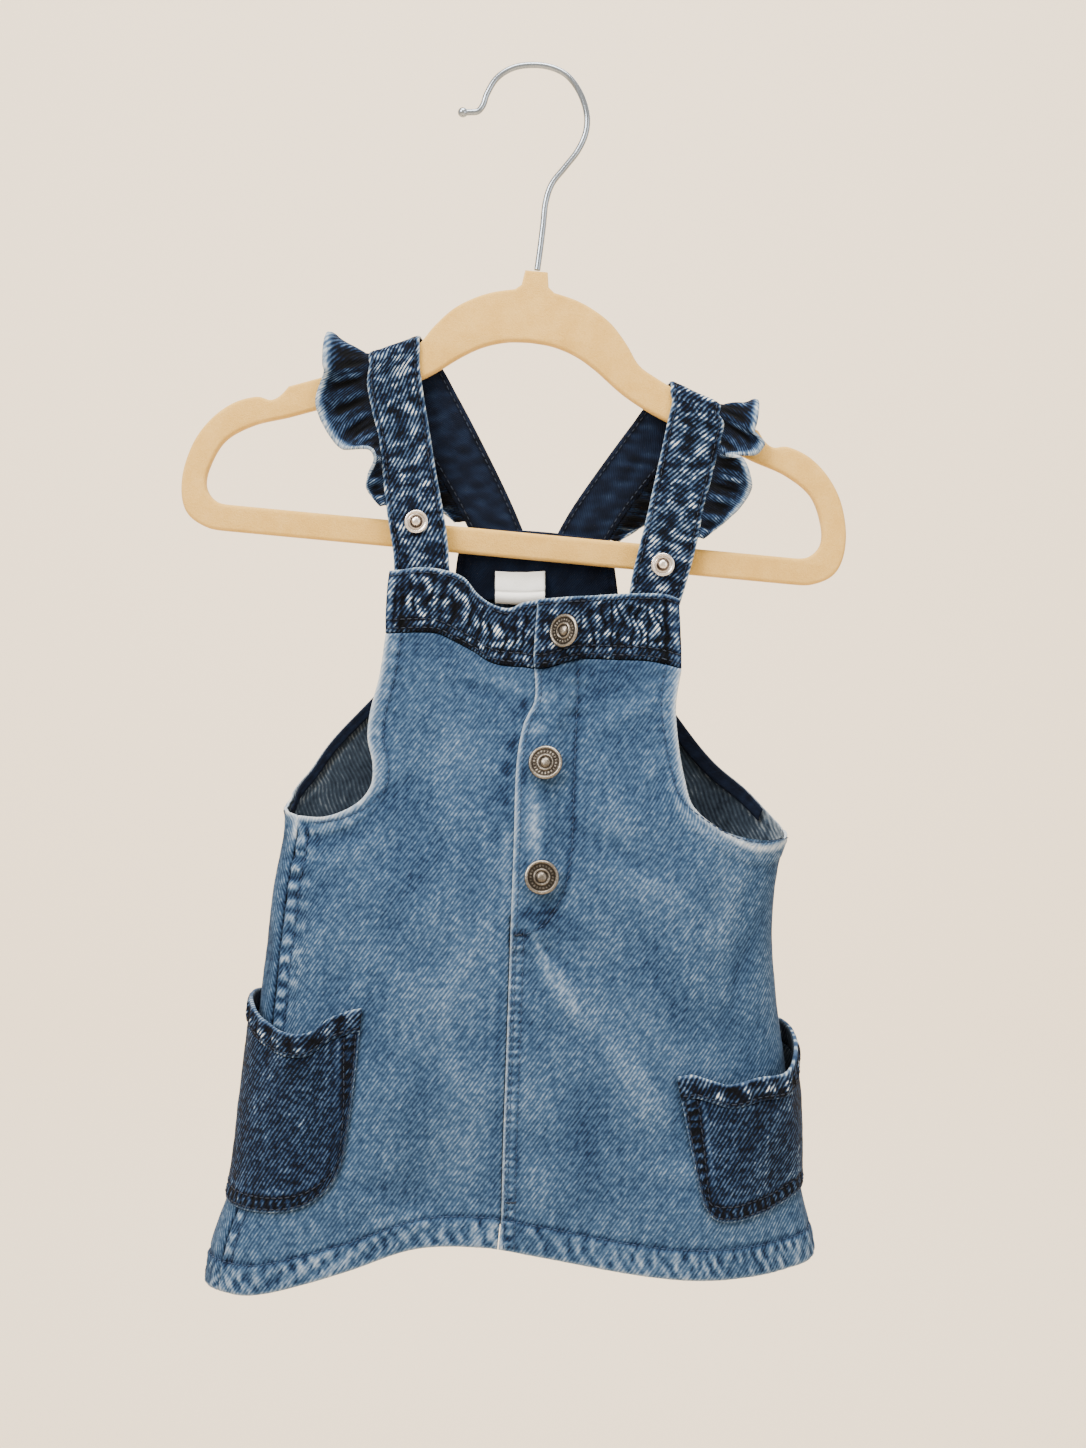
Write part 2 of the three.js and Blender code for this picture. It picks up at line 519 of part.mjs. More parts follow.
function backPanel(columns, count) {
  const leftSeam = SEAM.left - SEAM.gap + 360;
  const rightSeam = SEAM.right + SEAM.gap;
  const leftEnd = [...ARMHOLE_UNDER.left, { turn: leftSeam, z: SEAM.leftTop }];
  const rightEnd = [...ARMHOLE_UNDER.right, { turn: rightSeam, z: SEAM.rightTop }];
  const left = { armhole: armholeCurve(ARMHOLE_BACK_LEFT, 'back', leftEnd, 360), seam: leftSeam };
  const right = { armhole: armholeCurve(ARMHOLE_BACK_RIGHT, 'back', rightEnd), seam: rightSeam };
  const outer = [];
  const inner = [];
  for (const row of panelRows(count)) {
    const a = edgeAt(left, row.share);
    const b = edgeAt(right, row.share);
    const middleZ = mix(PANEL_TOP.back, hemLine(180) + HEM_HEIGHT, row.share);
    const faces = [];
    for (let c = 0; c <= columns; c += 1) {
      const u = c / columns;
      const turn = mix(a.turn, b.turn, u);
      const level = (u - 0.5) * 2;
      const edgeZ = u < 0.5 ? a.z : b.z;
      let z = mix(middleZ, edgeZ, level * level);
      const hemGap = hemLine(turn) - mix(hemLine(180), hemLine(u < 0.5 ? left.seam : right.seam), level * level);
      z += hemGap * row.share ** 3 - HEM_HEIGHT * row.hem;
      faces.push(panelFaces(turn, z, 0, row.hem));
    }
    outer.push(faces.map((face) => face.outer));
    inner.push(faces.map((face) => face.inner));
  }
  return { geometry: wall(outer, inner), edges: { left: left.armhole, right: right.armhole } };
}

// Strip on the inside of the back armhole's edge. A degree round the body is about 1.8 mm there
function armholeFacing(edge, inward, width, columns) {
  const start = 0.03;
  const stop = 0.86;
  const degree = 1.8;
  return sheet(columns, 1, (u, v) => {
    const place = edge.getPointAt(mix(start, stop, u));
    const along = edge.getTangentAt(mix(start, stop, u));
    const turn = place.x - (inward * along.y * v * width) / degree;
    const z = place.y - Math.abs(along.x) * v * width * 0.8 - v * 0.6;
    return {
      outer: cloth(turn, z, -DENIM - 2 * GAP),
      inner: cloth(turn, z, -DENIM - 2 * GAP - FACING_WALL),
    };
  });
}

// Bib band in two halves, gathered on its outer face
function band(side, columns, rows) {
  const isLeft = side === 'left';
  return sheet(columns, rows, (u, v) => {
    const zGuess = mix(-218, -250, v);
    const sideX = read(BAND_SIDES, 'z', zGuess, side);
    const flyX = read(FLY_EDGE, 'z', zGuess, 'x');
    const x = isLeft ? mix(sideX, flyX + BAND_LAP, u) : mix(flyX, sideX, u);
    const z = mix(read(BAND_TOP, 'x', x, 'z'), read(BAND_BOTTOM, 'x', x, 'z'), v);
    const turn = turnAt(x, z);
    const lapped = 1 - ease(x - flyX, BAND_LAP + 1, BAND_LAP + 11);
    const lift = isLeft ? 0 : (BAND_WALL + GAP + 0.2) * lapped;
    const clear = isLeft ? 1 - ease(x - flyX, -4, 0) : 1;
    const uneven = Math.sin(u * 9.1) * 0.9 + Math.sin(u * 23.7) * 0.4;
    const gather = Math.sin(2 * Math.PI * BAND_PUCKERS * u + uneven) * Math.sin(Math.PI * v) ** 0.7;
    const button = isLeft ? 0 : Math.exp(-(((x - BUTTONS[0].x) / 6) ** 2));
    const pucker = 0.75 * gather * clear * (1 - button) * (isLeft ? 1 : ease(x - flyX, 1, 8));
    const base = BAND_OUT + lift;
    return { outer: cloth(turn, z, base + pucker), inner: cloth(turn, z, base - BAND_WALL) };
  });
}

// Back yoke and the facing inside it
function yokeSheet(columns, rows, inset, at) {
  return sheet(columns, rows, (u, v) => {
    const zGuess = mix(-194, -222, v);
    const left = read(YOKE_SIDES, 'z', zGuess, 'left') + inset;
    const right = read(YOKE_SIDES, 'z', zGuess, 'right') - inset;
    const x = mix(left, right, u);
    const z = mix(read(YOKE_TOP, 'x', x, 'z') - inset * 0.3, read(YOKE_SEAM, 'x', x, 'z'), v);
    return at(turnAt(x, z, 'back'), z, v);
  });
}

// How deep the facing lies under the yoke's outer face: room for the straps above, close below
function facingDepth(share) {
  return DENIM + GAP + (STRAP_WALL + GAP) * (1 - ease(share, 0.35, 1) * 0.85);
}

// Straps

// Edges and face direction of a strap, from its front end over the hanger's arm to its back end
function strapStations(name) {
  const s = STRAPS[name];
  const axis = vec(Math.cos(rad(s.fold.rise)), 0, Math.sin(rad(s.fold.rise)));
  const up = vec(-axis.z, 0, axis.x);
  const centre = vec(s.fold.x, 0, s.fold.z);
  const radius = s.fold.bend + STRAP_WALL / 2;
  const stations = [];
  const run = (outer, inner, ys, steps, downwards) => {
    const a = new THREE.CatmullRomCurve3(outer.map((row) => vec(row.x, 0, row.z)), false, 'centripetal');
    const b = new THREE.CatmullRomCurve3(inner.map((row) => vec(row.x, 0, row.z)), false, 'centripetal');
    const part = [];
    for (let i = 0; i <= steps; i += 1) {
      const t = i / steps;
      const y = mix(ys.fold, ys.end, ease(t, 0, 1));
      part.push({ outer: a.getPointAt(t).setY(y), inner: b.getPointAt(t).setY(y), normal: vec(0, Math.sign(y), 0) });
    }
    stations.push(...(downwards ? part : part.reverse()));
  };
  const onFold = (along, angle) => {
    const point = centre.clone().addScaledVector(axis, along + s.fold.lead * radius * (angle - Math.PI / 2));
    point.addScaledVector(up, radius * Math.sin(angle));
    return point.setY(-radius * Math.cos(angle));
  };
  run(s.frontOuter, s.frontInner, STRAP_FRONT_Y, 12, false);
  const foldSteps = 8;
  for (let i = 0; i <= foldSteps; i += 1) {
    const angle = Math.PI * (i / foldSteps);
    const normal = up.clone().multiplyScalar(Math.sin(angle)).setY(-Math.cos(angle));
    stations.push({ outer: onFold(s.fold.outer, angle), inner: onFold(s.fold.inner, angle), normal });
  }
  run(s.backOuter, s.backInner, STRAP_BACK_Y, 8, true);
  return stations;
}

function strap(name, columns) {
  const half = STRAP_WALL / 2;
  const face = (sign) => strapStations(name).map((s) => Array.from({ length: columns + 1 }, (_, c) => (
    s.outer.clone().lerp(s.inner, c / columns).addScaledVector(s.normal, sign * half)
  )));
  return wall(face(1), face(-1));
}

// Frill on the outer edge of a strap
function ruffle(name, columns, rows) {
  const shape = RUFFLES[name];
  const stations = strapStations(name);
  const root = new THREE.CatmullRomCurve3(stations.map((s) => s.outer), false, 'centripetal');
  const across = new THREE.CatmullRomCurve3(stations.map((s) => s.outer.clone().sub(s.inner).normalize()));
  const facing = new THREE.CatmullRomCurve3(stations.map((s) => s.normal));
  const samples = 400;
  const lengths = root.getLengths(samples);
  const whole = lengths[samples];
  const placeOf = (share) => {
    const target = share * whole;
    const i = Math.max(1, lengths.findIndex((length) => length >= target));
    return (i - 1 + (target - lengths[i - 1]) / (lengths[i] - lengths[i - 1])) / samples;
  };
  return midSheet(columns, rows, (u, v) => {
    const t = placeOf(mix(shape.start, shape.end, u));
    const outward = across.getPoint(t).normalize();
    const normal = facing.getPoint(t).normalize();
    const along = root.getTangent(t);
    const [out, lift, slide] = ['out', 'lift', 'slide'].map((name) => read(shape.rows, 'at', u, name));
    const gather = 0.8 * (1 + Math.sin(2 * Math.PI * RUFFLE_GATHERS * u + Math.sin(u * 17) * 0.8));
    const point = root.getPoint(t).addScaledVector(outward, GAP + 0.25 + Math.max(0.8, out) * v);
    point.addScaledVector(normal, Math.max(0, lift) * v ** 1.2 + gather * Math.sin(Math.PI * v));
    point.addScaledVector(along, slide * v ** 1.5);
    return point;
  }, RUFFLE_WALL);
}

// Pockets

// How far a pocket stands off the body, from its mouth (0) to its bottom (1)
function pocketStand(row, v, edge) {
  const belly = 1.6 * Math.sin(Math.PI * v) * edge;
  return GAP + row.gape * (1 - v) ** 1.6 + belly;
}

function pocketPlace(name, u) {
  const table = POCKETS[name].rows;
  const first = table[0].turn;
  const turn = mix(first, table[table.length - 1].turn, u);
  return {
    turn,
    mouth: read(table, 'turn', turn, 'mouth'),
    bottom: read(table, 'turn', turn, 'bottom'),
    gape: Math.max(0, read(table, 'turn', turn, 'gape')),
  };
}

// Point of a pocket's outer face, at a share of its height, with the slant of its front edge
function pocketPoint(name, u, z, out) {
  const place = pocketPlace(name, u);
  const v = THREE.MathUtils.clamp((place.mouth - z) / (place.mouth - place.bottom), 0, 1);
  const edge = Math.sin(Math.PI * u) ** 0.5;
  const turn = place.turn + POCKETS[name].slant * (1 - u) * v;
  return cloth(turn, z, pocketStand(place, v, edge) + out);
}

function pocket(name, columns, rows) {
  return sheet(columns, rows, (u, v) => {
    const place = pocketPlace(name, u);
    const top = place.mouth - POCKET_BAND_HEIGHT - 2 * GAP;
    const z = mix(top, place.bottom, v);
    return { outer: pocketPoint(name, u, z, POCKET_WALL), inner: pocketPoint(name, u, z, 0) };
  });
}

function pocketBand(name, columns, rows) {
  return sheet(columns, rows, (u, v) => {
    const place = pocketPlace(name, u);
    const z = mix(place.mouth, place.mouth - POCKET_BAND_HEIGHT, v);
    const gather = Math.sin(2 * Math.PI * POCKET_PUCKERS * u + Math.sin(u * 8.3)) * Math.sin(Math.PI * v);
    const out = POCKET_BAND_WALL + 0.6 * gather * Math.sin(Math.PI * u);
    return { outer: pocketPoint(name, u, z, out), inner: pocketPoint(name, u, z, 0) };
  });
}

// Hard pieces

// Round piece from a profile of radius and height, standing on a face
function turned(profile, segments) {
  return new THREE.LatheGeometry(profile.map(([r, h]) => new THREE.Vector2(r, h)), segments);
}

const BUTTON_PROFILE = [
  [0, 0], [1.8, 0], [1.8, 1.8], [JEANS_BUTTON / 2 - 0.5, 2.1], [JEANS_BUTTON / 2, 2.8],
  [JEANS_BUTTON / 2 - 0.7, 3.5], [JEANS_BUTTON / 2 - 1.8, 3.4], [3.4, 3], [2.6, 3.5], [0, 3.8],
];
const SNAP_PROFILE = [
  [0, 0], [SNAP / 2, 0], [SNAP / 2, 0.6], [SNAP / 2 - 0.6, 1.1], [2.9, 0.9], [2.1, 0.9], [1.9, 2.3], [0, 2.9],
];

function facePiece(mesh, point, normal) {
  mesh.position.copy(point);
  mesh.quaternion.setFromUnitVectors(vec(0, 1, 0), normal.clone().normalize());
}

// Folded tape of the bare label, hanging from the facing's seam
function label() {
  const share = (LABEL.top - YOKE_TOP[1].z) / (YOKE_SEAM[0].z - YOKE_TOP[1].z);
  const behind = cloth(turnAt(LABEL.left, LABEL.top, 'back'), LABEL.top, -facingDepth(share)).y;
  const back = behind - FACING_WALL - GAP - 0.05;
  return sheet(4, 8, (u, v) => {
    const x = mix(LABEL.left, LABEL.right, u);
    const z = mix(LABEL.top, LABEL.fold, v) - LABEL.sag * Math.sin(Math.PI * u);
    const y = back - LABEL.puff * Math.sin(Math.PI * 0.9 * v) ** 2;
    return { outer: vec(x, y - LABEL.wall, z), inner: vec(x, y, z) };
  });
}

// Hanger

function hangerBody() {
  const spline = (points, count) => (
    new THREE.SplineCurve(points.map(([x, z]) => new THREE.Vector2(x, z))).getSpacedPoints(count)
  );
  const bevel = 1.6;
  const half = [
    new THREE.Vector2(BOSS.half, BOSS.top), new THREE.Vector2(...BOSS.foot),
    ...spline(HANGER_OUTSIDE, 20), ...spline(HANGER_TIP, 20).slice(1),
  ];
  const mirrored = (points) => points.map((p) => new THREE.Vector2(-p.x, p.y)).reverse();
  const shape = new THREE.Shape([...half, ...mirrored(half)]);
  const inside = spline(HANGER_INSIDE, 30);
  shape.holes.push(new THREE.Path([...inside, ...mirrored(inside).slice(0, -1)].reverse()));
  const geometry = new THREE.ExtrudeGeometry(shape, {
    depth: HANGER_WALL - 2 * bevel, bevelThickness: bevel, bevelSize: bevel * 0.7, bevelOffset: -bevel * 0.7,
    bevelSegments: 1, steps: 1,
  });
  geometry.translate(0, 0, -HANGER_WALL / 2 + bevel);
  geometry.rotateX(Math.PI / 2);
  geometry.translate(HANGER_CENTRE, 0, 0);
  return geometry;
}

// Joins closed meshes into one solid
async function fuse(geometries) {
  const wasm = await Module();
  wasm.setup();
  const parts = geometries.map((geometry) => {
    const bare = geometry.clone();
    bare.deleteAttribute('normal');
    bare.deleteAttribute('uv');
    const merged = mergeVertices(bare, 1e-4);
    const mesh = new wasm.Mesh({
      numProp: 3,
      vertProperties: merged.attributes.position.array,
      triVerts: Uint32Array.from(merged.index.array),
    });
    return new wasm.Manifold(mesh);
  });
  const joined = parts.reduce((sum, part) => sum.add(part)).getMesh();
  const geometry = new THREE.BufferGeometry();
  geometry.setAttribute('position', new THREE.BufferAttribute(joined.vertProperties, 3));
  geometry.setIndex([...joined.triVerts]);
  return geometry;
}

async function hangerHook() {
  const tilt = rad(HANGER_TILT);
  const line = (lift) => new THREE.CatmullRomCurve3(
    HOOK.map(([x, z]) => vec(HANGER_CENTRE + x, 0, z + lift * ease(z, -80, -40))), false, 'centripetal',
  );
  const heights = line(0).getPoints(200).map((p) => -p.x * Math.sin(tilt) + p.z * Math.cos(tilt));
  const path = line((WIRE / 2 - Math.max(...heights)) / Math.cos(tilt));
  const sides = 8;
  const round = new THREE.Shape(Array.from({ length: sides }, (_, i) => new THREE.Vector2(
    (WIRE / 2) * Math.cos((2 * Math.PI * i) / sides), (WIRE / 2) * Math.sin((2 * Math.PI * i) / sides),
  )));
  const wire = new THREE.ExtrudeGeometry(round, { steps: 44, extrudePath: path, bevelEnabled: false });
  const ball = new THREE.SphereGeometry(TIP_BALL / 2, 10, 8);
  ball.translate(...path.getPoint(0).toArray());
  return fuse([wire, ball]);
}

// The whole part

const part = new THREE.Group();

function add(group, name, geometry, colour, roughness, metalness = 0) {
  const material = new THREE.MeshStandardMaterial({ color: colour, roughness, metalness });
  const mesh = new THREE.Mesh(geometry, material);
  mesh.name = name;
  group.add(mesh);
  return mesh;
}

const hanger = new THREE.Group();
hanger.rotation.y = rad(HANGER_TILT);
add(hanger, 'hanger_body', hangerBody(), COLOURS.flock, 0.95);
add(hanger, 'hanger_hook', await hangerHook(), COLOURS.chrome, 0.2, 1);
part.add(hanger);

add(part, 'front_left', frontPanel('left', 11, 26), COLOURS.light, 0.9);
add(part, 'front_right', frontPanel('right', 16, 26), COLOURS.light, 0.9);
const back = backPanel(24, 22);
add(part, 'back_panel', back.geometry, COLOURS.light, 0.9);
add(part, 'armhole_facing_left', armholeFacing(back.edges.left, -1, 5, 20), COLOURS.navy, 0.9);
add(part, 'armhole_facing_right', armholeFacing(back.edges.right, 1, 7, 20), COLOURS.navy, 0.9);
add(part, 'band_left', band('left', 34, 3), COLOURS.dark, 0.9);
add(part, 'band_right', band('right', 34, 3), COLOURS.dark, 0.9);

add(part, 'back_yoke', yokeSheet(10, 4, 0, (turn, z) => ({
  outer: cloth(turn, z, 0), inner: cloth(turn, z, -DENIM),
})), COLOURS.dark, 0.9);
add(part, 'yoke_facing', yokeSheet(10, 4, 0.6, (turn, z, v) => {
  const depth = facingDepth(v);
  return { outer: cloth(turn, z, -depth), inner: cloth(turn, z, -depth - FACING_WALL) };
}), COLOURS.navy, 0.9);

for (const side of ['left', 'right']) {
  add(part, `strap_${side}`, strap(side, 3), COLOURS.dark, 0.9);
  add(part, `ruffle_${side}`, ruffle(side, 84, 3), COLOURS.dark, 0.9);
  add(part, `pocket_${side}`, pocket(side, 22, 7), COLOURS.dark, 0.9);
  add(part, `pocket_band_${side}`, pocketBand(side, 26, 2), COLOURS.dark, 0.9);
}

for (const button of BUTTONS) {
  const turn = turnAt(button.x, button.z);
  const normal = skinNormal(turn, button.z).applyAxisAngle(vec(0, 0, 1), rad(button.swing));
  const mesh = add(part, button.name, turned(BUTTON_PROFILE, 20), COLOURS.pewter, 0.35, 1);
  facePiece(mesh, cloth(turn, button.z, button.out + GAP), normal);
}
for (const snap of SNAPS) {
  const { frontOuter, frontInner } = STRAPS[snap.strap];
  const top = (frontOuter[0].z + frontInner[0].z) / 2;
  const end = (frontOuter[frontOuter.length - 1].z + frontInner[frontInner.length - 1].z) / 2;
  const y = mix(STRAP_FRONT_Y.fold, STRAP_FRONT_Y.end, ease((snap.z - top) / (end - top), 0, 1));
  const mesh = add(part, snap.name, turned(SNAP_PROFILE, 16), COLOURS.snap, 0.3, 1);
  facePiece(mesh, vec(snap.x, y - STRAP_WALL / 2 - GAP - 0.25, snap.z), vec(0, -1, 0));
}
add(part, 'care_label', label(), COLOURS.label, 0.8);

export default part;
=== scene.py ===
import math

import bpy
import numpy as np
from mathutils import Matrix, Vector


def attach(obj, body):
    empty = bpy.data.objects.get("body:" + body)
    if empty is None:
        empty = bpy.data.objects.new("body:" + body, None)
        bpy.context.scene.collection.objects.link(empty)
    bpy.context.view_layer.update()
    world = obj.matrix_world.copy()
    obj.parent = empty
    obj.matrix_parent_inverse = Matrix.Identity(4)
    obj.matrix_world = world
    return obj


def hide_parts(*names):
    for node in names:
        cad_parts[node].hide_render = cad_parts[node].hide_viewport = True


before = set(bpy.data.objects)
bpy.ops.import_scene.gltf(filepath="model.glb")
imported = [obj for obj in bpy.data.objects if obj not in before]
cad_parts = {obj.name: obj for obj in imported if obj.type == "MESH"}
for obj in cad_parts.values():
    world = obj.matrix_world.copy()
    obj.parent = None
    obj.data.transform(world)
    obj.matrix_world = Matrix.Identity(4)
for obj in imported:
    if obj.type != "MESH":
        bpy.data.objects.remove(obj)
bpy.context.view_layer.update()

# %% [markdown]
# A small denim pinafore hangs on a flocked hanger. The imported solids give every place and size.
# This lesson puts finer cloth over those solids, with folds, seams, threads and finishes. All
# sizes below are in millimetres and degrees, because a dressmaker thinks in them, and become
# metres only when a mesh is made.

MM = 0.001


def table(columns, rows):
    """A table whose columns are read by name."""
    names = columns.split()
    return {name: np.array([row[i] for row in rows], float) for i, name in enumerate(names)}


def mix(low, high, share):
    return low + (high - low) * share


def ease(value, low, high):
    """Runs smoothly from 0 at low to 1 at high."""
    t = np.clip((np.asarray(value, float) - low) / (high - low), 0, 1)
    return t * t * (3 - 2 * t)


def read(rows, key, place, column):
    """Smooth value of one column of a table at places in another column."""
    x, y = rows[key], rows[column]
    if x[-1] < x[0]:
        x, y = x[::-1], y[::-1]
    slope = np.empty_like(y)
    slope[1:-1] = (y[2:] - y[:-2]) / (x[2:] - x[:-2])
    slope[0] = (y[1] - y[0]) / (x[1] - x[0])
    slope[-1] = (y[-1] - y[-2]) / (x[-1] - x[-2])
    p = np.clip(place, x[0], x[-1])
    i = np.clip(np.searchsorted(x, p, side="right") - 1, 0, len(x) - 2)
    span = x[i + 1] - x[i]
    t = (p - x[i]) / span
    m0, m1, rise = slope[i] * span, slope[i + 1] * span, y[i + 1] - y[i]
    return y[i] + t * m0 + t * t * (3 * rise - 2 * m0 - m1) + t**3 * (m0 + m1 - 2 * rise)


def lumps(across, along, size, seed, waves=9):
    """Soft uneven lumps of about that size, from a few crossing waves."""
    rng = np.random.default_rng(seed)
    total = 0
    for _ in range(waves):
        angle, phase = rng.uniform(0, 2 * math.pi, 2)
        length = size * rng.uniform(0.7, 1.7)
        ramp = across * math.cos(angle) + along * math.sin(angle)
        total = total + np.sin(2 * math.pi * ramp / length + phase)
    return total * 0.7 / math.sqrt(waves)


# %% [markdown]
# The dress's form is written as tables: sections of the body, its big folds, and the edges of
# the hem, the bib band, the fly, the armholes and the yoke. They are the same tables that the
# solids were made from, so the cloth made here lies exactly where the solids are. A table with
# named columns is easier to correct than a list of loose points.

# %% Walls and clearances
GAP = 0.35
DENIM = 1.4
HEM_HEIGHT = 12.5
HEM_STEP = 0.5
BAND_SEAM = 0.6
BAND_WALL = 2.4
BAND_OUT = 0.7
BAND_PUCKERS = 15
BAND_LAP = 12
STRAP_WALL = 2.0
RUFFLE_WALL = 1.1
FACING_WALL = 1.0
POCKET_WALL = 1.3
POCKET_BAND_WALL = 2.2
POCKET_BAND_HEIGHT = 9.5
POCKET_PUCKERS = 11
SECTION_POWER = 2.4
ARMHOLE_SHARE = 0.36
FLY_END = -356
FLY_LAP = 11
HEM_ROWS = 15
FRONT_ROWS, BACK_ROWS = 270, 150
SEAM = {"left": -69, "right": 98, "left_top": -313.2, "right_top": -319.6, "gap": 0.7}
PANEL_TOP = {"front": -252.4, "back": -222.6}

# %% Tables of the body
SECTIONS = table("z left right plane front back", [
    (-185, -105, 105, -2, 11, 11), (-215, -105, 105, -2, 11.5, 11), (-240, -105, 105, -2, 13, 12),
    (-275, -105, 105.5, -2.5, 18, 16), (-312, -104.3, 105.6, -3, 25, 19.5),
    (-322, -105.2, 105, -3, 26.5, 20.5), (-335, -107.8, 101.6, -3.2, 28.5, 21.5),
    (-350, -110.2, 99.6, -3.4, 30.5, 22.5), (-370, -112.4, 99.2, -3.6, 32.5, 24),
    (-392, -114.8, 101, -3.8, 34.5, 25.5), (-430, -119.5, 106, -4, 37, 28),
    (-465, -126, 110.5, -4, 39, 30), (-489, -134.5, 115.3, -4, 40, 31),
    (-515, -138.5, 117.5, -4, 40.5, 31.5),
])
FOLDS = table("turn from to drift width depth", [
    (-50, -330, -440, -3, 7, 2), (-62, -325, -420, 0, 5, -1.6), (-54, -430, -540, 0, 14, 3),
    (-17, -420, -540, -2, 11, -4), (14, -340, -420, 12, 6, -1.2), (36, -440, -540, 2, 12, 3),
    (62, -430, -540, 4, 8, -1.8), (40, -310, -400, 6, 9, 1.4), (-24, -268, -350, -10, 8, -1.3),
    (128, -380, -540, 3, 11, 3), (156, -330, -540, 4, 12, -3.4), (186, -360, -540, -3, 13, 3.2),
    (216, -330, -540, -4, 12, -3), (242, -390, -540, 0, 10, 2.4),
])
HEM_EDGE = table("turn z", [
    (-180, -492), (-140, -497), (-110, -503), (-88, -506.5), (-58, -507.2), (-50, -505.4),
    (-41, -501.2), (-31, -495.2), (-18, -486.4), (-5, -485.2), (5, -488.6), (25, -496.5),
    (40, -499), (60, -498.5), (80, -496.2), (100, -493.5), (140, -492), (180, -492),
])
BAND_TOP = table("x z", [
    (-64, -212.2), (-56, -211.6), (-48, -210.6), (-38, -211.6), (-29, -215.1), (-24, -221.2),
    (-18, -225.7), (-10.7, -227.6), (-4, -225), (14, -223.1), (39, -221.5), (54, -221.8),
    (62, -224.6),
])
BAND_BOTTOM = table("x z", [
    (-66, -237.9), (-48, -237.2), (-40, -237.8), (-33, -241.1), (-25, -245.4), (-19, -249.3),
    (-13, -251), (-4, -251.7), (3, -252.6), (11, -250.6), (19, -248.4), (34, -248.6), (49, -249.4),
    (64, -253.4),
])
BAND_SIDES = table("z left right", [
    (-205, -58.5, 59.5), (-224, -61, 60), (-240, -61.8, 60.6), (-256, -61.8, 60.6),
])
FLY_EDGE = table("z x", [
    (-222, 0.9), (-245, -0.5), (-265, 0), (-276, -4.6), (-292, -7.4), (-322, -8.4), (-361, -9.8),
    (-406, -11.3), (-446, -12.7), (-520, -14.4),
])
ARMHOLE_FRONT_LEFT = table("x z", [
    (-61.8, -238), (-64.2, -255), (-68, -271), (-68.8, -281), (-66.6, -292), (-67.4, -301),
    (-73, -308), (-84.7, -313.2), (-98.2, -313.2),
])
ARMHOLE_FRONT_RIGHT = table("x z", [
    (60.6, -253), (58.2, -268), (58.6, -280), (61.2, -297), (65, -309), (74, -317), (86, -324.4),
    (97.3, -326.4), (104.7, -322.6),
])
ARMHOLE_BACK_LEFT = table("x z", [
    (-34.6, -222.4), (-48, -242), (-70.3, -265.7), (-87.6, -284.3), (-95, -295), (-101.1, -302.8),
])
ARMHOLE_BACK_RIGHT = table("x z", [
    (35.2, -223.4), (44, -246), (60.5, -272.2), (76.4, -292.1), (89.6, -303.3), (98.2, -312.6),
])
YOKE_SIDES = table("z left right", [
    (-190, -28, 31), (-204, -32.6, 33.4), (-226, -35, 36),
])
YOKE_TOP = table("x z", [
    (-36, -192.8), (0, -194), (36, -198.2),
])
YOKE_SEAM = table("x z", [
    (-40, -221.6), (40, -223),
])
# %% [markdown]
# The body is one closed surface that is read by an angle round it (0 is the middle of the
# front, 90 the wearer's left side) and a height. Each panel is a patch of that surface. The big
# folds push it in and out along its own facing, so that neighbouring panels and the pockets on
# them always agree.

# %% The hanging body
def section(z):
    return {name: read(SECTIONS, "z", z, name) for name in ("left", "right", "plane", "front", "back")}


def skin(turn, z):
    """Places on the smooth body."""
    turn, z = np.broadcast_arrays(np.asarray(turn, float), np.asarray(z, float))
    s = section(z)
    across = np.sin(np.radians(turn))
    bulge = np.maximum(0, 1 - np.abs(across) ** SECTION_POWER) ** (1 / SECTION_POWER)
    in_front = np.cos(np.radians(turn)) >= 0
    y = np.where(in_front, s["plane"] - s["front"] * bulge, s["plane"] + s["back"] * bulge)
    x = (s["left"] + s["right"]) / 2 + (s["right"] - s["left"]) / 2 * across
    return np.stack([x, y, z], -1)


def unit(vectors):
    return vectors / np.maximum(np.linalg.norm(vectors, axis=-1, keepdims=True), 1e-9)


def skin_facing(turn, z, step=1.5):
    sideways = skin(turn + step, z) - skin(turn - step, z)
    down = skin(turn, z - step) - skin(turn, z + step)
    return unit(np.cross(down, sideways))


def fold_at(turn, z):
    """How far the big folds push the cloth out."""
    out = 0
    for turn0, start, end, drift, width, depth in zip(*FOLDS.values()):
        along = np.clip((z - start) / (end - start), 0, 1)
        away = (turn - turn0 - drift * along + 180) % 360 - 180
        runs_out = end < -520
        ends = ease(along, 0, 0.4) * (1 if runs_out else ease(1 - along, 0, 0.4))
        out = out + depth * ends * np.exp(-((away / width) ** 2))
    return out


def hang(turn, z):
    """Places on the hanging cloth and the way it faces there."""
    facing = skin_facing(turn, z)
    return skin(turn, z) + facing * fold_at(turn, z)[..., None], facing


def turn_at(x, z, side="front"):
    """Angle round the body of a place seen from the front or from behind."""
    s = section(z)
    across = (x - (s["left"] + s["right"]) / 2) / ((s["right"] - s["left"]) / 2)
    turn = np.degrees(np.arcsin(np.clip(across, -1, 1)))
    return turn if side == "front" else np.where(turn >= 0, 180 - turn, -180 - turn)


def hem_line(turn):
    return read(HEM_EDGE, "turn", (np.asarray(turn, float) + 180) % 360 - 180, "z")


print("hem in front and behind:", float(hem_line(0)), float(hem_line(180)))

# %% [markdown]
# A pattern cutter draws edges as smooth lines through a few marks. This small class does the
# same: it passes a smooth line through points and can be read by a share of its real length,
# which keeps rows of cloth and rows of stitches evenly spaced.

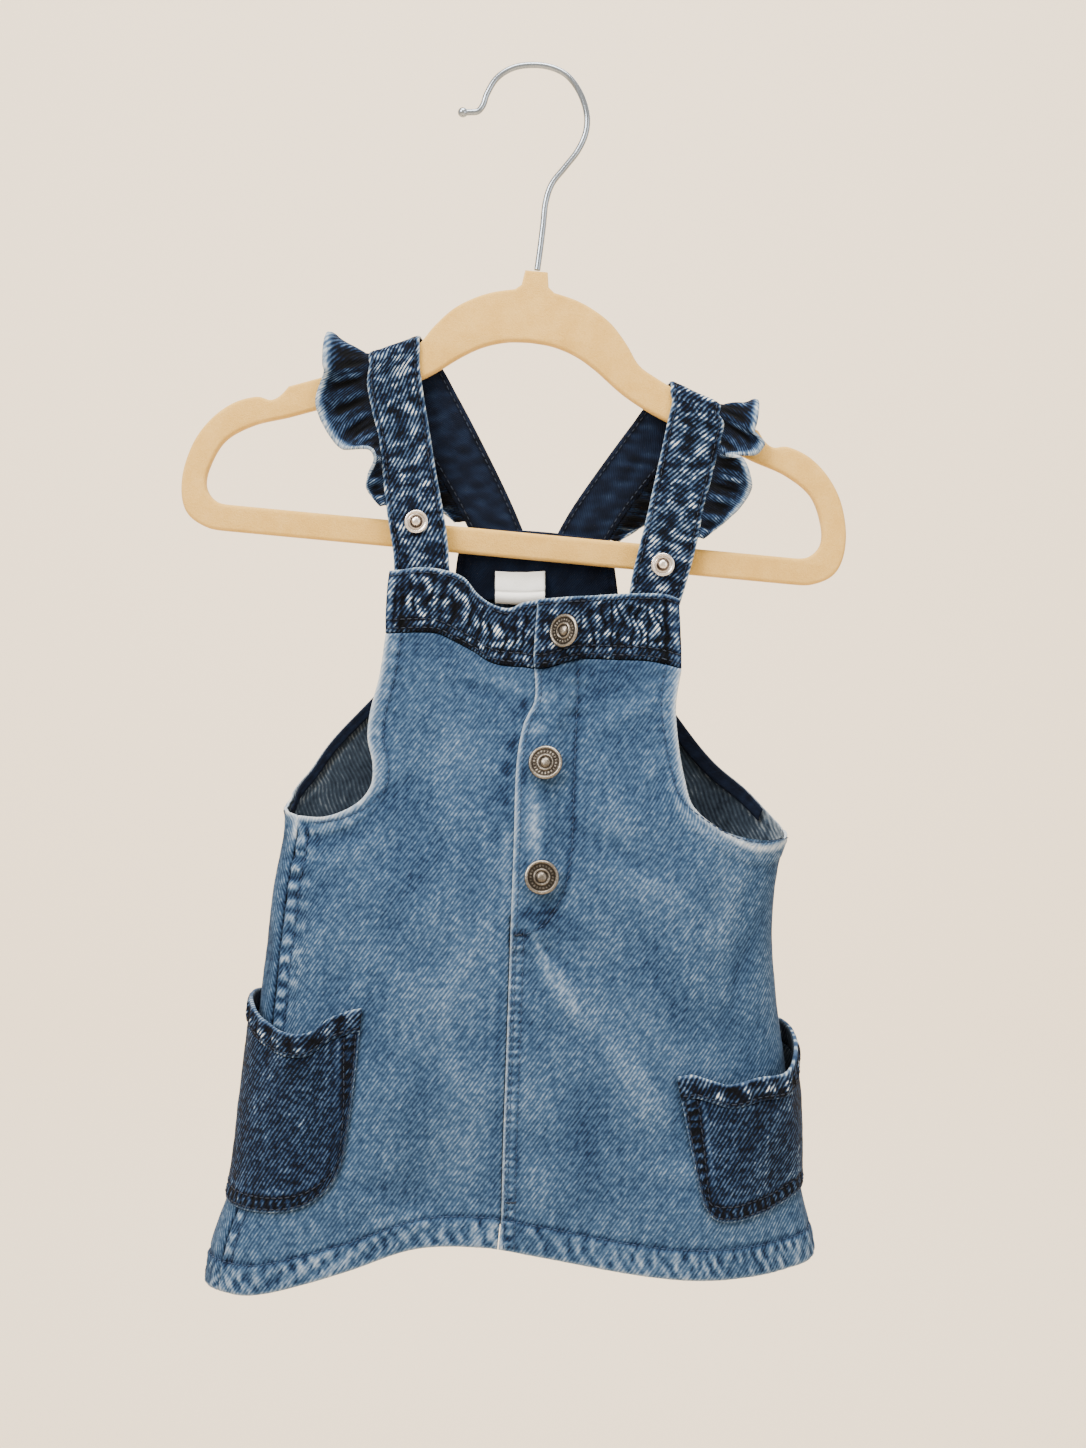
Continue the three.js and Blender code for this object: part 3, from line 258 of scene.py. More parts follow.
# %% Smooth lines
class Line:
    """Smooth line through points, read by a share of its length."""

    def __init__(self, points):
        p = np.array(points, float)
        self.spans = len(p) - 1
        self.p = np.vstack([2 * p[0] - p[1], p, 2 * p[-1] - p[-2]])
        self.d = np.maximum(np.linalg.norm(np.diff(self.p, axis=0), axis=1) ** 0.5, 1e-4)
        self.steps = np.linspace(0, 1, 1601)
        run = np.linalg.norm(np.diff(self.read(self.steps), axis=0), axis=1)
        self.run = np.concatenate([[0], np.cumsum(run)])
        self.length = self.run[-1]

    def read(self, t):
        s = np.clip(np.atleast_1d(t), 0, 1) * self.spans
        i = np.minimum(s.astype(int), self.spans - 1)
        w = (s - i)[:, None]
        x0, x1, x2, x3 = (self.p[i + k] for k in range(4))
        d0, d1, d2 = (self.d[i + k][:, None] for k in range(3))
        t1 = ((x1 - x0) / d0 - (x2 - x0) / (d0 + d1) + (x2 - x1) / d1) * d1
        t2 = ((x2 - x1) / d1 - (x3 - x1) / (d1 + d2) + (x3 - x2) / d2) * d1
        return x1 + w * t1 + w**2 * (3 * (x2 - x1) - 2 * t1 - t2) + w**3 * (2 * (x1 - x2) + t1 + t2)

    def place(self, share):
        return np.interp(np.asarray(share) * self.length, self.run, self.steps)

    def at(self, share):
        return self.read(self.place(share))


def marks(columns, *tables):
    """Points of one or more tables, by two of their columns."""
    a, b = columns.split()
    return [point for rows in tables for point in zip(rows[a], rows[b])]


# %% [markdown]
# Every piece of cloth is a grid of places with a facing, so thickness, seams and creases are all
# small moves along that facing. A real garment's look lives in these moves: a groove under each
# row of stitches, puckers beside it, lumps between. The grid also remembers where the cloth is
# worn pale, where it is darker, from dye kept in seams and from painted shade, and where it
# crests, which the finishes paint as wash wear and as painted highlight and shade.

# %% A piece of cloth
class Cloth:
    """One piece of cloth: its middle grid, its facing, its wall, its relief, its wear, and its deep mark of dye and
    painted shade.
    """

    def __init__(self, base, facing, out, wall, thread, follow=0.8):
        shape = base.shape[:2]
        self.base, self.facing, self.wall, self.follow = base, facing, wall, follow
        self.out = np.broadcast_to(out, shape).astype(float).copy()
        self.thread = thread
        self.relief, self.worn, self.deep_dye_and_shade = np.zeros(shape), np.zeros(shape), np.zeros(shape)
        self.sharpness = 0.5

    def faces(self):
        """Outer and inner grid, with the wall thinned along its edges as folded cloth is."""
        rows, columns = self.out.shape
        r = np.minimum(np.arange(rows), np.arange(rows)[::-1])[:, None]
        c = np.minimum(np.arange(columns), np.arange(columns)[::-1])[None, :]
        near_edge = np.minimum(r, c)
        full = np.choose(np.clip(near_edge, 0, 2), [0.5, 0.88, 1.0])
        half = self.wall / 2
        middle = self.out - half
        outer = middle + half * full + self.relief
        inner = middle - half * full + self.relief * self.follow
        lift = lambda by: self.base + self.facing * by[..., None]
        return lift(outer), lift(inner)


def thread_grid(base, start="left", plumb=0.0):
    """Cloth coordinates in millimetres: along each row from a side or a plumb line, and by height."""
    step = np.linalg.norm(np.diff(base, axis=1), axis=-1)
    run = np.concatenate([np.zeros((len(base), 1)), np.cumsum(step, axis=1)], axis=1)
    across = run
    if start == "plumb":
        way = 1 if base[0, -1, 0] > base[0, 0, 0] else -1
        met = [np.interp(plumb, row[::way], length[::way]) for row, length in zip(base[..., 0], run)]
        across = plumb + way * (run - np.array(met)[:, None])
    if start == "middle":
        across = run - run[:, run.shape[1] // 2][:, None]
    return np.stack([across, base[..., 2]], -1)


def near(places, line):
    """Distance from each place to a line of points, and how far along the line that is."""
    line = np.asarray(line, float)
    flat = places.reshape(-1, 3)
    run = np.concatenate([[0], np.cumsum(np.linalg.norm(np.diff(line, axis=0), axis=1))])
    square = (line**2).sum(1)
    nearest = np.empty(len(flat), int)
    for i in range(0, len(flat), 20000):
        part = flat[i : i + 20000]
        nearest[i : i + 20000] = np.argmin(square - 2 * part @ line.T, axis=1)
    distance = np.linalg.norm(flat - line[nearest], axis=1)
    return distance.reshape(places.shape[:2]), run[nearest].reshape(places.shape[:2])


def inset(cloth, edge, distance, trim=()):
    """Line on the cloth that keeps a distance from one edge and stops short of others."""
    g = {"left": cloth.base, "right": cloth.base[:, ::-1], "top": cloth.base.transpose(1, 0, 2),
         "bottom": cloth.base.transpose(1, 0, 2)[:, ::-1]}[edge]
    run = np.cumsum(np.linalg.norm(np.diff(g, axis=1), axis=-1), axis=1)
    run = np.concatenate([np.zeros((len(g), 1)), run], axis=1)
    line = np.array([[np.interp(distance, run[k], g[k, :, a]) for a in range(3)] for k in range(len(g))])
    step = np.linalg.norm(np.diff(line, axis=0), axis=1)
    along = np.concatenate([[0], np.cumsum(step)])
    keep = np.ones(len(line), bool)
    if "start" in trim:
        keep &= along >= distance
    if "end" in trim:
        keep &= along <= along[-1] - distance
    return line[keep]


def even(line, step=1.0):
    """The same line with a point at every step."""
    run = np.concatenate([[0], np.cumsum(np.linalg.norm(np.diff(line, axis=0), axis=1))])
    places = np.linspace(0, run[-1], max(2, int(run[-1] / step) + 1))
    return np.stack([np.interp(places, run, line[:, a]) for a in range(3)], -1)


def press(cloth, line, groove=0.3, width=0.8, pucker=0.22, spread=3.5, pitch=5.5, seed=1, deep_dye_and_shade=0.35):
    """Presses a row of stitches into the cloth, with uneven puckers beside it."""
    distance, along = near(cloth.base, even(line))
    rng = np.random.default_rng(seed)
    wander = np.sin(along / 13 + rng.uniform(0, 6)) * 1.4 + np.sin(along / 29 + rng.uniform(0, 6)) * 2
    wave = np.sin(2 * math.pi * along / pitch + wander) * (0.6 + 0.4 * np.sin(along / 17 + 1))
    cloth.relief += pucker * wave * np.exp(-((distance / spread) ** 2))
    cloth.relief -= groove * np.exp(-((distance / width) ** 2))
    cloth.deep_dye_and_shade += deep_dye_and_shade * np.exp(-((distance / (width * 1.6)) ** 2))


def ladder(cloth, line, width=2.2, pitch=3.7, seed=1, pale=0.5, dark=0.5, lift=0.14):
    """Rungs of pale and deep cloth between two rows of stitches."""
    distance, along = near(cloth.base, even(line))
    rng = np.random.default_rng(seed)
    wander = np.sin(along / 9 + rng.uniform(0, 6)) * 1.3 + np.sin(along / 23 + rng.uniform(0, 6)) * 1.8
    wander += 1.1 * lumps(along, distance, 5, seed)
    rung = np.sin(2 * math.pi * along / pitch + wander) * (1 - ease(distance, width * 0.6, width))
    cloth.worn = np.maximum(cloth.worn, pale * np.clip(rung, 0, 1))
    cloth.deep_dye_and_shade += dark * np.clip(-rung, 0, 1)
    cloth.relief += lift * rung


def wear(cloth, line, width=1.2, amount=1.0):
    """Rubs the cloth pale along a line."""
    distance, _ = near(cloth.base, even(line))
    cloth.worn = np.maximum(cloth.worn, amount * np.exp(-((distance / width) ** 2)))


def crease(cloth, rows, centre=0.0):
    """Soft troughs and ridges, listed one by one: middle, heading, length, width and depth."""
    u, v = cloth.thread[..., 0] - centre, cloth.thread[..., 1]
    for x, z, heading, length, width, depth in zip(*rows.values()):
        a = math.radians(heading)
        along = (u - x) * math.cos(a) + (v - z) * math.sin(a)
        aside = (v - z) * math.cos(a) - (u - x) * math.sin(a) + along**2 / (length * 5)
        cloth.relief += depth * np.exp(-((aside / width) ** 2) - (along / (length / 2)) ** 2)


# %% [markdown]
# A grid becomes a mesh by joining its outer and inner faces round the rim. The mesh keeps a UV
# map in millimetres of cloth, so a twill printed by a shader runs along the threads, and three
# attributes: wear; deep, which is dye kept in seams and painted shade; and crest, the cloth's
# height, which the finishes paint as wash wear and as painted highlight and painted shade. The
# inner face gets its own finish, because denim is pale inside.

# %% From grid to mesh
pieces = {}


def cloth_mesh(name, cloth, finishes):
    outer, inner = cloth.faces()
    rows, columns = outer.shape[:2]
    count = rows * columns
    k = np.arange(count).reshape(rows, columns)
    a, b, c, d = k[:-1, :-1].ravel(), k[:-1, 1:].ravel(), k[1:, 1:].ravel(), k[1:, :-1].ravel()
    ring = np.concatenate([k[0, :-1], k[:-1, -1], k[-1, :0:-1], k[:0:-1, 0]])
    after = np.roll(ring, -1)
    quads = np.concatenate([
        np.stack([a, b, c, d], 1),
        np.stack([a, d, c, b], 1) + count,
        np.stack([after, ring, ring + count, after + count], 1),
    ])
    points = np.concatenate([outer.reshape(-1, 3), inner.reshape(-1, 3)])
    p = points[quads]
    volume = np.einsum("ij,ij->", p[:, 0], np.cross(p[:, 1], p[:, 2]) + np.cross(p[:, 2], p[:, 3]))
    if volume < 0:
        quads = quads[:, ::-1]
    mesh = bpy.data.meshes.new(name)
    mesh.from_pydata((points * MM).tolist(), [], quads.tolist())
    for finish in finishes:
        mesh.materials.append(finish)
    inside = np.zeros(len(quads), int)
    if len(finishes) > 1:
        inside[len(a) : 2 * len(a)] = 1
    mesh.polygons.foreach_set("material_index", inside)
    uv = mesh.uv_layers.new(name="cloth")
    corner = np.empty(len(mesh.loops), int)
    mesh.loops.foreach_get("vertex_index", corner)
    flat = np.concatenate([cloth.thread.reshape(-1, 2)] * 2)
    uv.data.foreach_set("uv", flat[corner].ravel())
    # The crest mark is the cloth's height: the finishes paint ridges paler and hollows darker, partly as wash wear and
    # partly as painted highlight and painted shade.
    crest_wear_and_shade = np.tanh(cloth.relief / cloth.sharpness)
    for mark, values in (("worn", cloth.worn), ("deep_dye_and_shade", cloth.deep_dye_and_shade), ("crest_wear_and_shade", crest_wear_and_shade)):
        layer = mesh.attributes.new(mark, "FLOAT", "POINT")
        layer.data.foreach_set("value", np.concatenate([values.ravel()] * 2).astype(np.float32))
    mesh.shade_smooth()
    mesh.update()
    made = bpy.data.objects.new(name, mesh)
    bpy.context.scene.collection.objects.link(made)
    pieces[name] = made
    print(f"{name}: {len(quads) * 2} triangles, {cloth.base.shape[1]} by {cloth.base.shape[0]}")
    return made


def plain_mesh(name, points, faces, finish, marks=None):
    """Mesh of a hard piece, facing outwards, with optional marks."""
    mesh = bpy.data.meshes.new(name)
    mesh.from_pydata((np.asarray(points) * MM).tolist(), [], [list(map(int, f)) for f in faces])
    mesh.materials.append(finish)
    for mark, values in (marks or {}).items():
        layer = mesh.attributes.new(mark, "FLOAT", "POINT")
        layer.data.foreach_set("value", np.asarray(values, np.float32))
    mesh.shade_smooth()
    mesh.update()
    made = bpy.data.objects.new(name, mesh)
    bpy.context.scene.collection.objects.link(made)
    pieces[name] = made
    print(f"{name}: {len(mesh.vertices)} points")
    return made


def grid(columns, rows):
    """Shares across and down a piece."""
    return np.meshgrid(np.linspace(0, 1, columns), np.linspace(0, 1, rows))

# %% [markdown]
# Denim is dark warp threads over pale weft, washed until its high places turn white. One recipe
# serves every denim here: a brightness is added up from large clouds, acid-wash blotches,
# upright thread streaks, twill lines and three marks, and a colour ramp turns that brightness
# into indigo, blue, pale blue and off-white. The marks are wear; deep, which is dye kept in seams
# and painted shade; and crest, the cloth's height, painted paler on ridges and darker in hollows,
# partly as wash wear and partly as painted highlight and painted shade. Only the amounts differ
# between the light body, the dark trims and the grey inside. A photo texture would be quicker,
# but it would not follow the threads or the seams.

# %% Small helpers for finishes
def tint(code):
    """A hex colour as the linear values that a shader takes."""
    part = [int(code[i : i + 2], 16) / 255 for i in (1, 3, 5)]
    return [c / 12.92 if c <= 0.04045 else ((c + 0.055) / 1.055) ** 2.4 for c in part] + [1]


def feed(tree, socket, value):
    if isinstance(value, bpy.types.NodeSocket):
        tree.links.new(value, socket)
    elif value is not None:
        socket.default_value = value


def knot(tree, kind, feeds=None, **settings):
    """Adds a node, with its settings and what feeds it."""
    node = tree.nodes.new(kind)
    for key, value in settings.items():
        setattr(node, key, value)
    for key, value in (feeds or {}).items():
        feed(tree, node.inputs[key], value)
    return node


def sums(tree, operation, *values, clamp=False):
    node = tree.nodes.new("ShaderNodeMath")
    node.operation, node.use_clamp = operation, clamp
    for socket, value in zip(node.inputs, values):
        feed(tree, socket, value)
    return node.outputs[0]


def noise(tree, vector, size, detail=2.0, rough=0.5, stretch=(1, 1, 1)):
    """Noise around 0, from about -1 to 1, with lumps of one size in the vector's own unit."""
    scaled = knot(tree, "ShaderNodeVectorMath", {0: vector, 1: [s / size for s in stretch]}, operation="MULTIPLY")
    feeds = {"Vector": scaled.outputs[0], "Scale": 1.0, "Detail": detail, "Roughness": rough}
    made = knot(tree, "ShaderNodeTexNoise", feeds).outputs[0]
    return sums(tree, "MULTIPLY_ADD", made, 4.0, -2.0)


def ramp(tree, value, stops):
    node = knot(tree, "ShaderNodeValToRGB", {0: value})
    band = node.color_ramp
    while len(band.elements) < len(stops):
        band.elements.new(0.5)
    for element, (place, code) in zip(band.elements, stops):
        element.position, element.color = place, tint(code)
    return node.outputs[0]


def new_finish(name, roughness, metallic=0.0, sheen=0.0, gloss=0.3):
    finish = bpy.data.materials.new(name)
    finish.use_nodes = True
    shader = finish.node_tree.nodes["Principled BSDF"]
    settings = {"Roughness": roughness, "Metallic": metallic, "Sheen Weight": sheen,
                "Sheen Roughness": 0.5, "Specular IOR Level": gloss}
    for key, value in settings.items():
        shader.inputs[key].default_value = value
    return finish, finish.node_tree, shader


def mark(tree, name):
    return knot(tree, "ShaderNodeAttribute", attribute_name=name).outputs["Fac"]


# %% The denim recipe
TWILL_HEADING = math.radians(53)


def denim(name, stops, level, cloud, blotch, patch, grain, fleck, twill, crest_wear_and_shade, pitch=1.15, deepen=0.3, rub=1.0, inside=False):
    """Indigo twill; patch is the size of its acid-wash patches and pitch that of its twill, in mm."""
    finish, tree, shader = new_finish(name, 0.92, sheen=0.01, gloss=0.1)
    uv = knot(tree, "ShaderNodeUVMap", uv_map="cloth").outputs[0]
    place = knot(tree, "ShaderNodeTexCoord").outputs["Object"]
    across, up = knot(tree, "ShaderNodeSeparateXYZ", {0: uv}).outputs[:2]
    heading = math.pi - TWILL_HEADING if inside else TWILL_HEADING
    aside = sums(tree, "MULTIPLY_ADD", up, -math.cos(heading), sums(tree, "MULTIPLY", across, math.sin(heading)))
    along = sums(tree, "MULTIPLY_ADD", up, math.sin(heading), sums(tree, "MULTIPLY", across, math.cos(heading)))
    run = knot(tree, "ShaderNodeCombineXYZ", {0: aside, 1: along}).outputs[0]
    phase = sums(tree, "MULTIPLY_ADD", noise(tree, uv, 5.0, 1), 0.1, sums(tree, "MULTIPLY", aside, 1 / pitch))
    line = sums(tree, "SINE", sums(tree, "MULTIPLY", phase, 2 * math.pi))
    clouds = noise(tree, place, 34 * MM, 2)
    flecks = noise(tree, run, 1.3, 2, 0.6, (1, 0.3, 1))
    streaks = noise(tree, uv, 2.4, 2, 0.6, (1, 0.13, 1))
    patches = sums(tree, "MULTIPLY_ADD", line, 0.22, noise(tree, uv, patch, 3, 0.62, (0.8, 1.15, 1)))
    sharp = sums(tree, "TANH", sums(tree, "MULTIPLY", patches, 2.2))
    value = sums(tree, "MULTIPLY_ADD", clouds, cloud, level)
    value = sums(tree, "MULTIPLY_ADD", sharp, blotch, value)
    value = sums(tree, "MULTIPLY_ADD", streaks, grain, value)
    value = sums(tree, "MULTIPLY_ADD", flecks, fleck, value)
    # Crest: ridges painted paler and hollows darker, partly wash wear and partly painted highlight and painted shade.
    value = sums(tree, "MULTIPLY_ADD", mark(tree, "crest_wear_and_shade"), crest_wear_and_shade, value)
    # Deep: the cloth is darkened where dye stayed in seams, and where shade is painted in: in the frills, under the
    # band and towards the body's top.
    value = sums(tree, "MULTIPLY_ADD", mark(tree, "deep_dye_and_shade"), -deepen, value)
    bitten = sums(tree, "MULTIPLY_ADD", flecks, 0.2 * rub, 0.95 * rub)
    rubbed = sums(tree, "MULTIPLY", bitten, mark(tree, "worn"), clamp=True)
    value = sums(tree, "MULTIPLY_ADD", sums(tree, "SUBTRACT", 0.93, value), rubbed, value)
    strength = sums(tree, "MULTIPLY_ADD", sharp, 0.34 * twill, 0.66 * twill)
    strength = sums(tree, "MULTIPLY", strength, sums(tree, "MULTIPLY_ADD", rubbed, -0.85, 1.0))
    value = sums(tree, "MULTIPLY_ADD", line, strength, value)
    feed(tree, shader.inputs["Base Color"], ramp(tree, value, stops))
    height = sums(tree, "MULTIPLY_ADD", line, 0.5, sums(tree, "MULTIPLY", flecks, 0.35))
    bump = knot(tree, "ShaderNodeBump", {"Height": height, "Strength": 0.7, "Distance": 0.16 * MM})
    feed(tree, shader.inputs["Normal"], bump.outputs[0])
    return finish


LIGHT = [(0, "#050c18"), (0.2, "#0c1a30"), (0.4, "#21354c"), (0.6, "#3a4e65"), (0.8, "#6a798b"), (0.9, "#8e979f"), (1, "#cbc5ba")]
DARK = [(0, "#000102"), (0.2, "#010207"), (0.4, "#030814"), (0.6, "#0f1f36"), (0.8, "#36485f"), (0.9, "#74828f"), (1, "#c8c3b9")]
GREY = [(0, "#07090f"), (0.3, "#131a24"), (0.6, "#2f3944"), (1, "#7f868b")]
NAVY = [(0, "#010308"), (0.4, "#060c1a"), (0.7, "#0e182a"), (1, "#263244")]
light_denim = denim("light_denim", LIGHT, 0.475, 0.035, 0.1, 2.4, 0.045, 0.085, 0.13, 0.13, 1.35)
dark_denim = denim("dark_denim", DARK, 0.54, 0.03, 0.27, 5.2, 0.04, 0.05, 0.16, 0.32, 1.5)
# The frill's finish is a darker copy of the dark denim; its lower level is painted shade for the frill's lobes.
frill_denim_shaded = denim("frill_denim_shaded", DARK, 0.47, 0.03, 0.12, 4.5, 0.03, 0.06, 0.16, 0.32, 1.4)
pocket_denim = denim("pocket_denim", DARK, 0.51, 0.05, 0.13, 2.4, 0.05, 0.08, 0.16, 0.24, 1.4)
inside_denim = denim("inside_denim", GREY, 0.51, 0.05, 0.05, 4, 0.05, 0.09, 0.11, 0.2, 1.5, rub=0.3, inside=True)
navy_twill = denim("navy_twill", NAVY, 0.47, 0.08, 0.04, 6, 0.02, 0.06, 0.09, 0.5, 0.8, rub=0.1)
print("denims made:", [m.name for m in (light_denim, dark_denim, pocket_denim, inside_denim, navy_twill)])

# %% [markdown]
# The hard pieces need other finishes. The hanger's plastic is flocked: short fibres stand up on
# it, so it has no gloss, a velvet sheen and a fine speckle. The hook is bright plated wire with
# faint drawing marks. The buttons are aged pewter, dark in their hollows and rubbed bright on
# their rings, and the snaps are a warmer plate.

# %% Flock, wire, metals, tape and thread
def speckled(name, stops, size, roughness, metallic=0.0, sheen=0.0, gloss=0.3, bump=0.1, stretch=(1, 1, 1), ridge=0.0):
    """A finish whose colour and relief come from fine noise, and from a mark of raised metal."""
    finish, tree, shader = new_finish(name, roughness, metallic, sheen, gloss)
    place = knot(tree, "ShaderNodeTexCoord").outputs["Object"]
    fine = noise(tree, place, size * MM, 2, 0.6, stretch)
    wide = noise(tree, place, size * 14 * MM, 2)
    value = sums(tree, "MULTIPLY_ADD", fine, 0.14, sums(tree, "MULTIPLY_ADD", wide, 0.1, 0.5))
    if ridge:
        value = sums(tree, "MULTIPLY_ADD", mark(tree, "raised"), ridge, value)
    feed(tree, shader.inputs["Base Color"], ramp(tree, value, stops))
    relief = knot(tree, "ShaderNodeBump", {"Height": fine, "Strength": 0.5, "Distance": bump * MM})
    feed(tree, shader.inputs["Normal"], relief.outputs[0])
    return finish


flock = speckled("flock", [(0, "#a87c36"), (0.45, "#c0974d"), (1, "#d6b16c")], 0.5, 0.95, sheen=0.1, gloss=0.1, bump=0.16)
wire_plate = speckled("wire_plate", [(0, "#5d646c"), (1, "#a9b0b8")], 0.6, 0.2, 1.0, bump=0.02, stretch=(1, 1, 0.15))
pewter = speckled("pewter", [(0, "#0b0a08"), (0.4, "#38332d"), (0.75, "#6b645b"), (1, "#968e83")], 0.7, 0.34, 1.0, bump=0.05, ridge=0.3)
snap_plate = speckled("snap_plate", [(0, "#2a2522"), (0.45, "#a3968b"), (0.8, "#dccfc3"), (1, "#f4ece4")], 0.7, 0.22, 1.0, bump=0.02, ridge=0.42)
tape = speckled("tape", [(0, "#cfcdc8"), (0.5, "#e6e4df"), (1, "#f3f2ee")], 0.35, 0.8, sheen=0.1, bump=0.08, stretch=(1, 1, 3))
dark_thread = speckled("dark_thread", [(0, "#03070f"), (0.5, "#0b1524"), (1, "#22324a")], 0.4, 0.7, bump=0.05)
blue_thread = speckled("blue_thread", [(0, "#0b1626"), (0.5, "#182b44"), (1, "#334a68")], 0.4, 0.7, bump=0.05)
print("hard finishes and threads made")

# %% [markdown]
# The front is two panels that meet at the fly: the right one, seen from the front, laps over the
# left. Each is cut in rows that are level in the middle and bend up along the armhole, and ends
# in a turned hem. The same formula as the solids' gives the places, in rows about 1.2 mm apart,
# so that seams and puckers have room.

# %% Edges of the panels
def hole_line(side, rows, under=(), wrap=0):
    points = [(float(turn_at(x, z, side)) + wrap, z, 0) for x, z in marks("x z", rows)]
    return Line(points + [(turn, z, 0) for turn, z in under])


def panel_edge(hole, seam, share):
    """Angle and height of a panel's side: the armhole first, then the side seam."""
    share = np.asarray(share, float)
    beside = hole.at(np.clip(share / ARMHOLE_SHARE, 0, 1))[:, :2]
    top = hole.at([1.0])[0]
    along = np.clip((share - ARMHOLE_SHARE) / (1 - ARMHOLE_SHARE), 0, 1)
    z = mix(top[1], hem_line(seam) + HEM_HEIGHT, along)
    below = np.stack([mix(top[0], seam, ease(along, 0, 0.08)), z], 1)
    return np.where((share < ARMHOLE_SHARE)[:, None], beside, below)


def panel_rows(rows, hem_rows=HEM_ROWS):
    """Shares down the panel and down its hem, one row after another."""
    share = np.concatenate([np.linspace(0, 1, rows), np.ones(hem_rows)])[:, None]
    hem = np.concatenate([np.zeros(rows), np.linspace(0.04, 1, hem_rows)])[:, None]
    return share, hem


def fly_raise(x, z):
    """Lift of the right front where it lies on the left one."""
    near_fly = 1 - ease(x - read(FLY_EDGE, "z", z, "x"), FLY_LAP + 1, FLY_LAP + 9)
    return (DENIM + GAP) * near_fly * ease(z, FLY_END - 16, FLY_END - 2)


def front_panel(side, columns, rows):
    left = side == "left"
    seam = SEAM[side]
    hole = hole_line("front", ARMHOLE_FRONT_LEFT if left else ARMHOLE_FRONT_RIGHT,
                     [] if left else [(seam, SEAM["right_top"])])
    share, hem = panel_rows(rows)
    start = panel_edge(hole, seam, share[:, 0])
    middle_z = mix(PANEL_TOP["front"], float(hem_line(0)) + HEM_HEIGHT, share)
    lap = mix(-GAP, FLY_LAP, ease(middle_z, FLY_END + 2, FLY_END + 8)) if left else 0
    fly_turn = turn_at(read(FLY_EDGE, "z", middle_z, "x") + lap, middle_z)
    u = np.linspace(0, 1, columns)[None, :]
    turn = mix(start[:, :1], fly_turn, u)
    bend = 1 - (1 - u) ** 2
    z = mix(start[:, 1:], middle_z, bend)
    x = skin(turn, z)[..., 0]
    ends = panel_edge(hole, seam, [0.0, 1.0])
    level = mix(ends[0, 1], PANEL_TOP["front"], bend)
    top_gap = read(BAND_BOTTOM, "x", x, "z") - BAND_SEAM - level
    hem_gap = hem_line(turn) + HEM_HEIGHT - mix(ends[1, 1], float(hem_line(0)) + HEM_HEIGHT, bend)
    z = z + top_gap * (1 - share) ** 5 + hem_gap * share**3 - HEM_HEIGHT * hem
    return turn, z, (0 * x if left else fly_raise(x, z)), hem


def panel_cloth(turn, z, out, hem, start, plumb=0.0):
    tucked = np.zeros((len(z), 1))
    if start != "middle":
        turn, z, hem = (np.vstack([rows[:1], rows[:1], rows]) for rows in (turn, z, np.broadcast_to(hem, (len(z), 1))))
        out = np.vstack([out[:1], out[:1], out])
        z = z.copy()
        z[0] += 2.4
        tucked = np.zeros((len(z), 1))
        tucked[:2] = BAND_WALL + 0.1 - BAND_OUT
    out = out - tucked
    base, facing = hang(turn, z)
    step = HEM_STEP * ease(hem, 0, 0.1)
    cloth = Cloth(base, facing, out + step, DENIM + 2 * step, thread_grid(base, start, plumb))
    cloth.turn, cloth.z = turn, z
    return cloth


front = {side: panel_cloth(*front_panel(side, columns, FRONT_ROWS), "plumb", plumb)
         for side, columns, plumb in (("left", 104, -14), ("right", 116, 14))}
print("front panels:", {side: cloth.base.shape[:2] for side, cloth in front.items()})

# %% [markdown]
# The back is one panel. Its armholes run from the yoke down to the side seams, under the arms.

# %% The back panel
def back_panel(columns, rows):
    left_seam, right_seam = SEAM["left"] - SEAM["gap"] + 360, SEAM["right"] + SEAM["gap"]
    left = hole_line("back", ARMHOLE_BACK_LEFT,
                     [(262, -308), (276, -311.2), (left_seam, SEAM["left_top"])], 360)
    right = hole_line("back", ARMHOLE_BACK_RIGHT, [(103.5, -317.6), (right_seam, SEAM["right_top"])])
    share, hem = panel_rows(rows)
    a, b = panel_edge(left, left_seam, share[:, 0]), panel_edge(right, right_seam, share[:, 0])
    middle_z = mix(PANEL_TOP["back"], float(hem_line(180)) + HEM_HEIGHT, share)
    u = np.linspace(0, 1, columns)[None, :]
    turn = mix(a[:, :1], b[:, :1], u)
    level = (2 * u - 1) ** 2
    z = mix(middle_z, np.where(u < 0.5, a[:, 1:], b[:, 1:]), level)
    ends = np.where(u < 0.5, hem_line(left_seam), hem_line(right_seam))
    hem_gap = hem_line(turn) - mix(float(hem_line(180)), ends, level)
    z = z + hem_gap * share**3 - HEM_HEIGHT * hem
    return (turn, z, 0 * z, hem), {"left": left, "right": right}


back_places, back_holes = back_panel(170, BACK_ROWS)
back = panel_cloth(*back_places, "middle")
print("back panel:", back.base.shape[:2])

# %% [markdown]
# Seams are what make denim look sewn. Along each one the cloth is pressed into a groove and
# draws up in puckers, the dye stays dark in the groove, and folded edges rub pale. Here the body's
# seams are drawn as lines on the cloth: the hem, the side seams, the armholes' turned edges, the
# centre seam with its two rows of stitches, the fly's curved row and the band's seam.

# %% Lines of the body's seams
def on_body(points):
    """Line on the hanging front through places seen from the front."""
    flat = Line([(x, 0, z) for x, z in points]).at(np.linspace(0, 1, 120))
    return hang(turn_at(flat[:, 0], flat[:, 2]), flat[:, 2])[0]


FLY_STITCHES = [
    (17.9, -253.7), (16.9, -278), (15.9, -302), (14.9, -327.6), (12.5, -341), (7.8, -351.4), (2.5, -357.5),
    (-3.9, -360.6),
]
hem_seam = {}
for name, cloth in (("left", front["left"]), ("right", front["right"]), ("back", back)):
    hem_seam[name] = cloth.base[-HEM_ROWS]
centre_z = np.linspace(-358, -486, 90)
centre_x = read(FLY_EDGE, "z", centre_z, "x")
centre_rows = [on_body(list(zip(centre_x + shift, centre_z))) for shift in (1.1, 5.4)]
fly_row = on_body(FLY_STITCHES)
bar_tack = on_body([(-9.6, -361), (-6.8, -360.7), (-3.9, -360.6)])
low_tack = on_body([(-12.8, -467.2), (-9.4, -467), (-5.9, -466.8)])
print("fly row:", round(float(Line(fly_row).length)), "mm")
